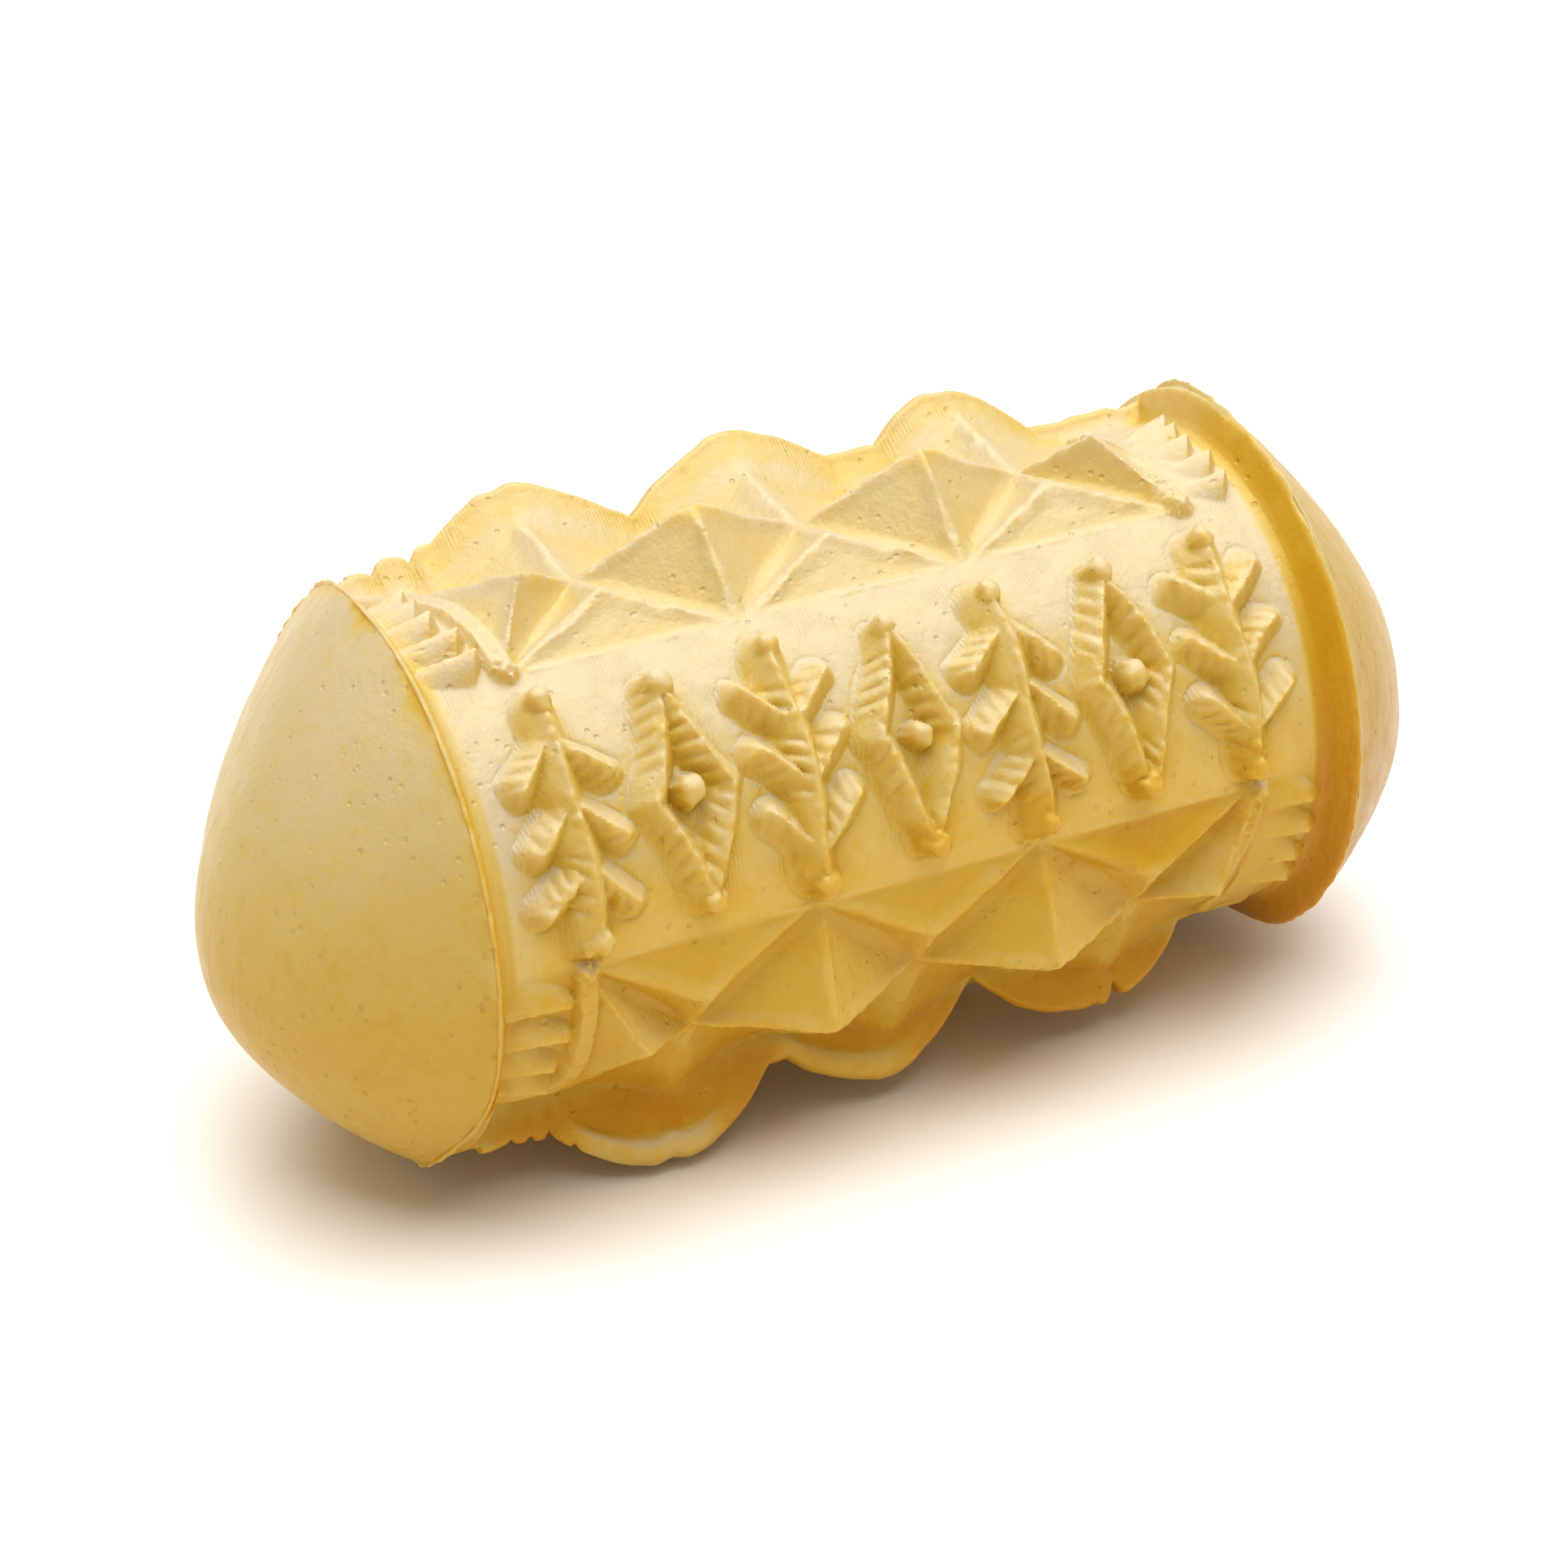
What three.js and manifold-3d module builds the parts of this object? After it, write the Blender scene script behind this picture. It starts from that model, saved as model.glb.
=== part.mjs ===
// A smoked mountain cheese, pressed in a two-part carved mould ring and lying on its side.
// Millimetres. X runs along the cheese, Z is up, and the origin is on the floor under its middle.
// The mould leaves a barrel of diamond pyramids, a carved band along each half, rows of pleats
// and a flash fin where its halves meet. Past its two ends the cheese bulges into flanged domes.

import * as THREE from 'three';
import { mergeVertices } from 'three/addons/utils/BufferGeometryUtils.js';
import Module from 'manifold-3d';

const wasm = await Module();
wasm.setup();

// The barrel. Angles are in degrees round the axis, from the middle of the front mould half.
const FRONT_TURN = 33.5;
const PITCH = 35;
const GROUND_RADIUS = 35.8;
const BAND_ANGLE = 34;
const SEAM_ANGLE = 90;
const LATTICE_END = 1.5 * PITCH;

// The pyramids: the gables on the band, the full ones, and those on the seam of the mould.
const GABLE = { angle: 47.6, radius: 39.3 };
const VALLEY = { angle: 62, radius: GROUND_RADIUS };
const PEAK = { angle: 56.8, radius: 45.6 };
const END_PEAK = { x: 44.5, angle: 55, radius: 41.5 };
const SEAM_PEAK_TOP = 45.6;
const SEAM_PEAK_BOTTOM = 42;

// The flanged rims and the domes. A dome leans, with its tip moved towards the lower seam.
const RIM_PLANE = 66.3;
const RIM_RADIUS = 40;
const WALL_FOOT = { inset: 2.2, radius: 35.3 };
const LIP = { thickness: 0.6, radius: 40.3 };
const LEFT_DOME = { side: -1, base: 39.5, height: 27.6, lean: 7.5, leanAngle: -78, top: 2.4, bottom: -4.6 };
const RIGHT_DOME = { side: 1, base: 39.9, height: 24.8, lean: 6.2, leanAngle: -94, top: 4.4, bottom: -0.4 };
const DOME_POWER = 1.9;
const CORNER_SPREAD = 20;
const CORNER_RISE = 0.6;
const DOME_RINGS = 7;

// The skin's columns: steps across half of a band, and from the band to the seam.
const BAND_STEPS = 4;
const LATTICE_STEPS = 7;

// The flash fins on the seam. A lump falls away from its crest to a cusp.
const FIN_THICKNESS = 2.4;
const FIN_ROOT = 30;
const FIN_STEP = 3.2;
const TOP_FIN = {
  angle: SEAM_ANGLE,
  floor: { left: 39.3, right: 38.8 },
  lumps: [
    { x: -34.6, crest: 48.1, fall: 8.5, reach: 17.2, power: 1.4 },
    { x: 0, crest: 48.3, fall: 8.5, reach: 17.2, power: 1.4 },
    { x: 19, crest: 41.7, fall: 1.0, reach: 10, power: 2 },
    { x: 33.2, crest: 47.3, fall: 8.5, reach: 13.5, power: 1.6 },
  ],
};
const BOTTOM_FIN = {
  angle: -SEAM_ANGLE,
  floor: { left: 40, right: 35.8 },
  lumps: [
    { x: -36.4, crest: 49.3, fall: 10.9, reach: 18.8, power: 2 },
    { x: -2.6, crest: 46.3, fall: 10.9, reach: 18.2, power: 1.5 },
    { x: 32.2, crest: 44.8, fall: 9.4, reach: 17.5, power: 2.1 },
  ],
};

// The pleats beside the rims, and the slanted ridge that parts them from the last pyramids.
const UPPER_PLEATS = [37, 44.5, 52, 58.5, 64];
const LOWER_PLEATS = [38.5, 48, 58, 67];
const FIRST_PLEAT = 38;
const PLEAT_WIDTH = 5.6;
const PLEAT_CREST = 39.4;
const PLEAT_TAIL = 36.4;
const PLEAT_ROOT = 34;
const LEFT_PLEAT = { cut: -54.6, tail: -65.6, slant: -0.12 };
const RIGHT_PLEAT = { cut: 62.4, tail: 53.4, slant: 0 };
const RIDGE_WIDTH = 3;
const RIDGE_HEIGHT = 1.7;
const RIDGE_CREST = 0.36;
const LEFT_RIDGE = [[-52.4, 35], [-52.6, 47], [-53.6, 60], [-57, 74], [-62, 84]];
const RIGHT_RIDGE = [[52.2, 35], [51, 44], [49.4, 54], [46.4, 63]];
const KNOB_RADIUS = 2.1;

// The carving on the band: fir sprigs and lozenges in turn, with a knob on every end. The strokes
// stand up as small roofs, with a narrow crest.
const CARVING_HEIGHT = 4.2;
const CARVING_ROOT = 1.4;
const CARVING_CREST = 0.08;
const CARVING_MIDDLE = -2;
const MOTIF_STEP = 17;
const MOTIF_COUNT = 7;
const SPRIG = { reach: 25.5, width: 8.6, twigWidth: 6.8, twigReach: 6.4, twigRise: 9, twigs: [-18, -4.5, 9] };
const LOZENGE = { reach: 23, halfWidth: 5.4, width: 7.2, overlap: 0.06 };

// The floor line under the axis: the two lowest peaks are pressed flat on it.
const AXIS_HEIGHT = 43.4;
const CUT_BLOCK = 220;
const WELD = 0.001;

// A point of the skin, given as length along the axis, angle and radius.
function place(x, angle, radius) {
  const turn = THREE.MathUtils.degToRad(FRONT_TURN + angle);
  return new THREE.Vector3(x, -radius * Math.cos(turn), radius * Math.sin(turn));
}

// A closed body from a list of triangles, each of three points.
function solidFrom(triangles) {
  const geometry = new THREE.BufferGeometry().setFromPoints(triangles.flat());
  return solidOf(geometry);
}

function solidOf(geometry) {
  const bare = new THREE.BufferGeometry();
  bare.setAttribute('position', geometry.getAttribute('position'));
  if (geometry.index) bare.setIndex(geometry.index);
  const merged = mergeVertices(bare, WELD);
  const whole = [];
  const corners = merged.index.array;
  for (let i = 0; i < corners.length; i += 3) {
    const [a, b, c] = corners.slice(i, i + 3);
    if (a !== b && b !== c && c !== a) whole.push(a, b, c);
  }
  const mesh = new wasm.Mesh({
    numProp: 3,
    vertProperties: new Float32Array(merged.getAttribute('position').array),
    triVerts: new Uint32Array(whole),
  });
  return new wasm.Manifold(mesh);
}

// A sheet of quads between rows of points, facing out where x and the angle grow with the indices.
function sheet(rows) {
  const triangles = [];
  for (let i = 0; i + 1 < rows.length; i += 1) {
    for (let j = 0; j + 1 < rows[i].length; j += 1) {
      triangles.push([rows[i][j], rows[i + 1][j], rows[i + 1][j + 1]]);
      triangles.push([rows[i][j], rows[i + 1][j + 1], rows[i][j + 1]]);
    }
  }
  return triangles;
}

// A flat facet of a pyramid, turned to face away from the axis.
function facet(a, b, c) {
  const normal = b.clone().sub(a).cross(c.clone().sub(a));
  const middle = a.clone().add(b).add(c);
  return normal.y * middle.y + normal.z * middle.z > 0 ? [a, b, c] : [a, c, b];
}

// The columns' angles from the middle of a band to the seam.
function quarterAngles() {
  const angles = [];
  for (let i = 0; i < BAND_STEPS; i += 1) angles.push((BAND_ANGLE * i) / BAND_STEPS);
  for (let i = 0; i <= LATTICE_STEPS; i += 1) {
    angles.push(BAND_ANGLE + ((SEAM_ANGLE - BAND_ANGLE) * i) / LATTICE_STEPS);
  }
  return angles;
}

function halfAngles() {
  const quarter = quarterAngles();
  return [...quarter.slice(1).reverse().map((angle) => -angle), ...quarter];
}

function ringAngles() {
  const half = halfAngles();
  return [...half, ...half.slice(1).map((angle) => angle + 180)];
}

// Bell curve of the angle's distance from a seam, for the rims' corners.
function nearSeam(angle, seam) {
  const away = Math.abs(((angle - seam + 540) % 360) - 180);
  return Math.exp(-((away / CORNER_SPREAD) ** 2));
}

// The pyramids of one quarter of the barrel, on the given side of the band of one mould half.
function latticeQuarter(half, side) {
  const node = (column, angle, radius) => place((column * PITCH) / 2, half + side * angle, radius);
  const atTop = (half === 0) === (side > 0);
  const seamPeak = atTop ? SEAM_PEAK_TOP : SEAM_PEAK_BOTTOM;
  const foot = (column) => node(column, BAND_ANGLE, GROUND_RADIUS);
  const dip = (column) => node(column, SEAM_ANGLE, GROUND_RADIUS);
  const valley = (column) => node(column, VALLEY.angle, VALLEY.radius);
  const triangles = [];
  for (const column of [-2, 0, 2]) {
    const gable = node(column, GABLE.angle, GABLE.radius);
    const crest = node(column, SEAM_ANGLE, seamPeak);
    triangles.push(facet(foot(column - 1), foot(column + 1), gable));
    for (const step of [-1, 1]) {
      triangles.push(facet(foot(column + step), gable, valley(column)));
      triangles.push(facet(valley(column), crest, dip(column + step)));
    }
  }
  for (const column of [-1, 1]) {
    const peak = node(column, PEAK.angle, PEAK.radius);
    for (const step of [-1, 1]) {
      triangles.push(facet(foot(column), peak, valley(column + step)));
      triangles.push(facet(valley(column + step), peak, dip(column)));
    }
  }
  for (const end of [-1, 1]) {
    const peak = place(end * END_PEAK.x, half + side * END_PEAK.angle, END_PEAK.radius);
    triangles.push(facet(foot(3 * end), peak, valley(2 * end)));
    triangles.push(facet(valley(2 * end), peak, dip(3 * end)));
    const arc = quarterAngles().filter((angle) => angle >= BAND_ANGLE);
    for (let i = 0; i + 1 < arc.length; i += 1) {
      const low = node(3 * end, arc[i], GROUND_RADIUS);
      const high = node(3 * end, arc[i + 1], GROUND_RADIUS);
      triangles.push(facet(low, high, peak));
    }
  }
  return triangles;
}

// The plain band of one mould half, with a row of points wherever pyramids meet its edge.
function band(half) {
  const angles = halfAngles().filter((angle) => Math.abs(angle) <= BAND_ANGLE);
  const rows = [-3, -1, 1, 3].map((column) => (
    angles.map((angle) => place((column * PITCH) / 2, half + angle, GROUND_RADIUS))
  ));
  return sheet(rows);
}

// One end from the last pyramids outwards: plain ground, flange wall, lip and leaning dome.
function end(dome) {
  const angles = ringAngles();
  const stretch = (angle) => (
    dome.top * nearSeam(angle, SEAM_ANGLE) + dome.bottom * nearSeam(angle, -SEAM_ANGLE)
  );
  const corner = (angle) => (
    CORNER_RISE * (nearSeam(angle, SEAM_ANGLE) ** 4 + nearSeam(angle, -SEAM_ANGLE) ** 4)
  );
  const ring = (x, radius, share) => (
    angles.map((angle) => place(x + share * stretch(angle), angle, radius + share * corner(angle)))
  );
  const wallFoot = dome.side * (RIM_PLANE - WALL_FOOT.inset);
  const rim = dome.side * RIM_PLANE;
  const lip = dome.side * (RIM_PLANE + LIP.thickness);
  const rows = [
    ring(dome.side * LATTICE_END, GROUND_RADIUS, 0),
    ring(wallFoot, WALL_FOOT.radius, 0.5),
    ring(THREE.MathUtils.lerp(wallFoot, rim, 0.65), RIM_RADIUS - 2, 0.9),
    ring(rim, RIM_RADIUS, 1),
    ring(lip, LIP.radius, 1),
  ];
  const lean = place(0, dome.leanAngle, dome.lean);
  for (let i = 0; i < DOME_RINGS; i += 1) {
    const inner = 1 - i / DOME_RINGS;
    const rise = 1 - inner ** DOME_POWER;
    const fade = inner ** 3;
    rows.push(ring(lip + dome.side * dome.height * rise, dome.base * inner, fade)
      .map((point) => point.addScaledVector(lean, rise)));
  }
  const tip = lean.clone().setX(lip + dome.side * dome.height);
  if (dome.side < 0) rows.reverse();
  const triangles = sheet(rows);
  const last = dome.side > 0 ? rows[rows.length - 1] : rows[0];
  for (let j = 0; j + 1 < last.length; j += 1) {
    triangles.push(dome.side > 0 ? [last[j], tip, last[j + 1]] : [tip, last[j], last[j + 1]]);
  }
  return triangles;
}

// The pressed body without what is carved on it.
function body() {
  const triangles = [...end(LEFT_DOME), ...end(RIGHT_DOME)];
  for (const half of [0, 180]) {
    triangles.push(...band(half));
    for (const side of [-1, 1]) triangles.push(...latticeQuarter(half, side));
  }
  return solidFrom(triangles);
}

// The fin's radius at x: the highest of its lumps, and no lower than its floor.
function finRadius(fin, x) {
  const floor = x < 0 ? fin.floor.left : fin.floor.right;
  const heights = fin.lumps.map((lump) => (
    lump.crest - lump.fall * (Math.abs(x - lump.x) / lump.reach) ** lump.power
  ));
  return Math.max(floor, ...heights);
}

// A thin plate in the plane of the seam, with the lumpy outline where the mould leaked.
function flashFin(fin) {
  const reach = RIM_PLANE - 1;
  const outline = new THREE.Shape();
  outline.moveTo(-reach, FIN_ROOT);
  outline.lineTo(reach, FIN_ROOT);
  const steps = Math.round((2 * reach) / FIN_STEP);
  for (let i = steps; i >= 0; i -= 1) {
    const x = -reach + (2 * reach * i) / steps;
    outline.lineTo(x, finRadius(fin, x));
  }
  const plate = new THREE.ExtrudeGeometry(outline, { depth: FIN_THICKNESS, bevelEnabled: false });
  plate.translate(0, 0, -FIN_THICKNESS / 2);
  const outward = place(0, fin.angle, 1);
  const along = new THREE.Vector3(1, 0, 0);
  const across = along.clone().cross(outward);
  plate.applyMatrix4(new THREE.Matrix4().makeBasis(along, outward, across));
  return solidOf(plate);
}

// The points of a path of [x, angle], with more where it crosses a column of the band.
function alongColumns(path) {
  const column = BAND_ANGLE / BAND_STEPS;
  const line = [path[0]];
  for (let i = 1; i < path.length; i += 1) {
    const [from, to] = [path[i - 1], path[i]];
    const shares = [1];
    for (let k = -BAND_STEPS; k <= BAND_STEPS; k += 1) {
      const share = (k * column - from[1]) / (to[1] - from[1]);
      if (share > 0.1 && share < 0.9) shares.push(share);
    }
    for (const share of shares.sort((a, b) => a - b)) {
      line.push([0, 1].map((axis) => THREE.MathUtils.lerp(from[axis], to[axis], share)));
    }
  }
  return line;
}

// A bar laid on the barrel along points of [x, angle]. Its sides slope up to a crest, whose half
// width is the given share of the bar's width.
function bar(half, side, path, width, height, crest = CARVING_CREST) {
  const line = alongColumns(path);
  const perDegree = THREE.MathUtils.degToRad(GROUND_RADIUS);
  const flat = line.map(([x, angle]) => new THREE.Vector2(x, side * angle * perDegree));
  const rows = flat.map((point, i) => {
    const before = flat[Math.max(i - 1, 0)];
    const after = flat[Math.min(i + 1, flat.length - 1)];
    const along = after.clone().sub(before).normalize();
    const across = new THREE.Vector2(-along.y, along.x);
    const corner = (share, rise) => {
      const spot = point.clone().addScaledVector(across, share * width);
      return place(spot.x, half + spot.y / perDegree, GROUND_RADIUS + rise);
    };
    const foot = [corner(-0.5, -CARVING_ROOT), corner(0.5, -CARVING_ROOT)];
    return [...foot, corner(crest, height), corner(-crest, height)];
  });
  return prism(rows);
}

// A closed prism through rows of four corners.
function prism(rows) {
  const triangles = [];
  for (let i = 0; i + 1 < rows.length; i += 1) {
    for (let j = 0; j < 4; j += 1) {
      const next = (j + 1) % 4;
      triangles.push([rows[i][j], rows[i][next], rows[i + 1][next]]);
      triangles.push([rows[i][j], rows[i + 1][next], rows[i + 1][j]]);
    }
  }
  const first = rows[0];
  const last = rows[rows.length - 1];
  triangles.push([first[0], first[2], first[1]], [first[0], first[3], first[2]]);
  triangles.push([last[0], last[1], last[2]], [last[0], last[2], last[3]]);
  const solid = solidFrom(triangles);
  return solid.volume() > 0 ? solid : solidFrom(triangles.map(([a, b, c]) => [a, c, b]));
}

// A small round knob on the barrel.
function knob(half, side, x, angle, rise) {
  const ball = new THREE.IcosahedronGeometry(KNOB_RADIUS, 0);
  const middle = place(x, half + side * angle, GROUND_RADIUS + rise);
  ball.translate(middle.x, middle.y, middle.z);
  return solidOf(ball);
}

// A fir sprig across the band: a stem with pairs of twigs that rise on both sides.
function sprig(half, x, up) {
  const at = (angle) => CARVING_MIDDLE + up * angle;
  const pieces = [bar(half, 1, [[x, at(-SPRIG.reach)], [x, at(SPRIG.reach)]], SPRIG.width, CARVING_HEIGHT)];
  for (const angle of SPRIG.twigs) {
    for (const side of [-1, 1]) {
      const path = [[x, at(angle)], [x + side * SPRIG.twigReach, at(angle + SPRIG.twigRise)]];
      pieces.push(bar(half, 1, path, SPRIG.twigWidth, CARVING_HEIGHT - 0.5));
    }
  }
  pieces.push(knob(half, 1, x, at(-SPRIG.reach), CARVING_HEIGHT - 1.2));
  pieces.push(knob(half, 1, x, at(SPRIG.reach), CARVING_HEIGHT - 1.2));
  return pieces;
}

// A lozenge across the band, with a knob in its middle and on both tips.
function lozenge(half, x) {
  const tips = [CARVING_MIDDLE - LOZENGE.reach, CARVING_MIDDLE + LOZENGE.reach];
  const pieces = [knob(half, 1, x, CARVING_MIDDLE, 1.6)];
  for (const tip of tips) {
    pieces.push(knob(half, 1, x, tip, CARVING_HEIGHT - 1.2));
    for (const side of [-1, 1]) {
      const past = CARVING_MIDDLE + LOZENGE.overlap * (CARVING_MIDDLE - tip);
      const path = [[x, tip], [x + side * LOZENGE.halfWidth * (1 + LOZENGE.overlap), past]];
      pieces.push(bar(half, 1, path, LOZENGE.width, CARVING_HEIGHT));
    }
  }
  return pieces;
}

// The whole row of motifs on one half.
function carving(half) {
  const pieces = [];
  const first = (-(MOTIF_COUNT - 1) / 2) * MOTIF_STEP;
  for (let i = 0; i < MOTIF_COUNT; i += 1) {
    const x = first + i * MOTIF_STEP;
    pieces.push(...(i % 2 ? lozenge(half, x) : sprig(half, x, i % 4 ? 1 : -1)));
  }
  return pieces;
}

// One pleat: a wedge, cut square at one end and running out to nothing at the other.
function pleat(half, side, angle, shape) {
  const perDegree = THREE.MathUtils.degToRad(GROUND_RADIUS);
  const spread = (0.5 * PLEAT_WIDTH) / perDegree;
  const cut = shape.cut + shape.slant * (angle - FIRST_PLEAT);
  const row = (x, crest) => [
    place(x, half + side * (angle - spread), PLEAT_ROOT),
    place(x, half + side * (angle + spread), PLEAT_ROOT),
    place(x, half + side * (angle + 0.55 * spread), crest),
    place(x, half + side * (angle + 0.2 * spread), crest),
  ];
  return prism([row(cut, PLEAT_CREST), row(shape.tail, PLEAT_TAIL)]);
}

function pleats(half, side) {
  const pieces = [];
  const atTop = (half === 0) === (side > 0);
  const angles = atTop ? UPPER_PLEATS : LOWER_PLEATS;
  for (const shape of [LEFT_PLEAT, RIGHT_PLEAT]) {
    for (const angle of angles) pieces.push(pleat(half, side, angle, shape));
  }
  for (const path of [LEFT_RIDGE, RIGHT_RIDGE]) {
    pieces.push(bar(half, side, path, RIDGE_WIDTH, RIDGE_HEIGHT, RIDGE_CREST));
    pieces.push(knob(half, side, path[0][0], path[0][1], 0.6));
  }
  return pieces;
}

// The block of air under the floor line.
function underFloor() {
  const block = new THREE.BoxGeometry(CUT_BLOCK, CUT_BLOCK, CUT_BLOCK);
  block.translate(0, 0, -AXIS_HEIGHT - CUT_BLOCK / 2);
  return solidOf(block);
}

function cheeseGeometry() {
  const pieces = [body(), flashFin(TOP_FIN), flashFin(BOTTOM_FIN)];
  for (const half of [0, 180]) {
    pieces.push(...carving(half));
    for (const side of [-1, 1]) pieces.push(...pleats(half, side));
  }
  const joined = pieces.reduce((whole, piece) => whole.add(piece)).subtract(underFloor());
  const mesh = joined.getMesh();
  const geometry = new THREE.BufferGeometry();
  geometry.setAttribute('position', new THREE.BufferAttribute(mesh.vertProperties, 3));
  geometry.setIndex(new THREE.BufferAttribute(mesh.triVerts, 1));
  geometry.computeBoundingBox();
  const box = geometry.boundingBox;
  const middle = box.getCenter(new THREE.Vector3());
  geometry.translate(-middle.x, -middle.y, -box.min.z);
  geometry.computeVertexNormals();
  return geometry;
}

// Waxy smoked skin of a straw yellow.
function smokedSkin() {
  return new THREE.MeshStandardMaterial({ color: 0xe2c56f, roughness: 0.45, metalness: 0 });
}

const part = new THREE.Group();
const cheese = new THREE.Mesh(cheeseGeometry(), smokedSkin());
cheese.name = 'cheese';
part.add(cheese);

export default part;
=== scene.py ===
# %% [markdown]
# # A smoked mountain cheese
# The real thing is one lump of curd, pressed in a carved two-part mould, soaked in brine and smoked.
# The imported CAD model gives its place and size. This lesson grows one detailed skin over it.
# The frame is loaded first, so that everything made here shares its origin and its metres.

# %% Load the frame
import math

import bpy
import numpy as np
from mathutils import Matrix, Vector


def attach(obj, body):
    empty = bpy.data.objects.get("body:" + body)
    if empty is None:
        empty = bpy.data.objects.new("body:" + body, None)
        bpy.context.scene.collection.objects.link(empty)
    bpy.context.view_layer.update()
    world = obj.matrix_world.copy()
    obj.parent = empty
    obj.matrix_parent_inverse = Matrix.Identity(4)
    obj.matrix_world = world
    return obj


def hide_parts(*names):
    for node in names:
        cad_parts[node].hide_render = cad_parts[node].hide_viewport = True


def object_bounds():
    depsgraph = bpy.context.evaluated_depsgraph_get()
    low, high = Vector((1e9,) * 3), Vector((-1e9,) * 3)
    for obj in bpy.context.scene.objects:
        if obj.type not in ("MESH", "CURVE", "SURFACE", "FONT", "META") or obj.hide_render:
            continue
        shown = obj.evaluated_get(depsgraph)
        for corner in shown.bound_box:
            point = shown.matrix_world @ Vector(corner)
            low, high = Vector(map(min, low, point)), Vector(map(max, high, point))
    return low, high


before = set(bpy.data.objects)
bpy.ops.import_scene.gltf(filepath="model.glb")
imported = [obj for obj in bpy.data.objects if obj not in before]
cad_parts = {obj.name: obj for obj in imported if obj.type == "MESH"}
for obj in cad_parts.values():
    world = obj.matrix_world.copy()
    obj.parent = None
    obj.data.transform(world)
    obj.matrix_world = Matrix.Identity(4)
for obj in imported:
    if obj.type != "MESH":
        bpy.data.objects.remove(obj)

MM = 0.001
CAD_LOW, CAD_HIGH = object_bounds()
print("CAD box in mm:", [round(v / MM, 1) for v in (*CAD_LOW, *CAD_HIGH)])

# %% [markdown]
# ## The mould's measures
# A mould like this is turned and carved by hand, so its plan is simple: a round barrel, four rows of
# diamond pyramids, two plain bands with carving, and two flanged ends. The angles run round the axis,
# from the middle of the front band. Each half of the cheese repeats the same quarter four times.

# %% Measures of the barrel, in millimetres and degrees
FRONT_TURN = 33.5  # the front band leans back by this angle
PITCH = 35.0  # from one pyramid to the next along the barrel
GROUND = 35.8  # radius of the plain barrel
BAND_ANGLE = 34.0  # where the band ends and the gables start
SEAM_ANGLE = 90.0  # where the mould's halves meet
LATTICE_END = 1.5 * PITCH
GABLE = (47.6, 39.3)  # angle and radius of a gable's top
VALLEY_ANGLE = 62.0  # where four pyramids meet on the ground
PEAK = (56.8, 45.6)  # angle and radius of a pyramid's peak
END_PEAK = (44.5, 55.0, 41.5)  # x, angle and radius of a last, lower peak
SEAM_CREST = {"top": 45.6, "bottom": 42.0}
LIP_PLANE = 66.9  # x of the rims' lips
AXIS_HEIGHT = 43.4
AXIS_X = CAD_LOW[0] / MM + LIP_PLANE + 27.6
ARC = math.radians(GROUND)  # mm round the barrel for one degree
SEED = 7
NOWHERE = 99.0  # a radius that no real facet reaches


# %% [markdown]
# ## Unevenness
# Curd never fills a mould evenly. A lattice of seeded random numbers, blended smoothly between its
# knots, gives bumps of any chosen size. It is worked out on the plain barrel's own points, so it has
# no seam where the angle starts again.

# %% Smooth random bumps
def soft_noise(points, size, seed):
    """Value noise from -1 to 1: random knots every size mm, mixed with smoothstep weights along x, y, z."""
    knots = np.random.default_rng(seed).uniform(-1, 1, 4096)
    scaled = points / size
    low = np.floor(scaled).astype(np.int64)
    share = scaled - low
    share = share * share * (3 - 2 * share)
    total = np.zeros(points.shape[:-1])
    for corner in range(8):
        step = np.array([corner & 1, corner >> 1 & 1, corner >> 2 & 1])
        cell = low + step
        key = (cell[..., 0] * 73856093 ^ cell[..., 1] * 19349663 ^ cell[..., 2] * 83492791) & 4095
        weight = np.prod(np.where(step, share, 1 - share), axis=-1)
        total += weight * knots[key]
    return total


def smooth_step(low, high, value):
    """0 below low, 1 above high, with an S curve of 3t^2 - 2t^3 between them."""
    t = np.clip((value - low) / (high - low), 0, 1)
    return t * t * (3 - 2 * t)


def soft_max(first, second, fillet):
    """The larger of two heights, with a fillet of the given size in mm where they meet."""
    overlap = np.maximum(fillet - np.abs(first - second), 0) / fillet
    return np.maximum(first, second) + overlap * overlap * fillet / 4


# %% [markdown]
# ## The pyramids
# Each pyramid is a tent of flat facets. A facet is a plane, and a ray from the axis meets the plane at
# a known radius, so the tent's radius is the smallest over its planes. The pressed skin is the largest
# over all tents. The mould's grooves had narrow flat bottoms, so each ridge gets a flat strip: the
# mean of the two lowest planes, less a little, cuts the sharp edge off. The facets sag slightly.

# %% Tents of flat facets
def node(column, angle, radius):
    """A corner of the lattice in the quarter's own frame: x, outwards along the band, towards the seam."""
    turn = math.radians(angle)
    return np.array([column * PITCH / 2, radius * math.cos(turn), radius * math.sin(turn)])


def facet_radius(corners, x, cosine, sine):
    """Where the ray (cosine, sine) at x meets the corners' plane: (d - nx x) / (ny cos + nz sin)."""
    a, b, c = corners
    normal = np.cross(b - a, c - a)
    if normal @ (a + b + c - [a[0] + b[0] + c[0], 0, 0]) < 0:
        normal = -normal
    slope = normal[1] * cosine + normal[2] * sine
    return np.where(slope > 1e-6, (normal @ a - normal[0] * x) / np.maximum(slope, 1e-6), NOWHERE)


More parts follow.
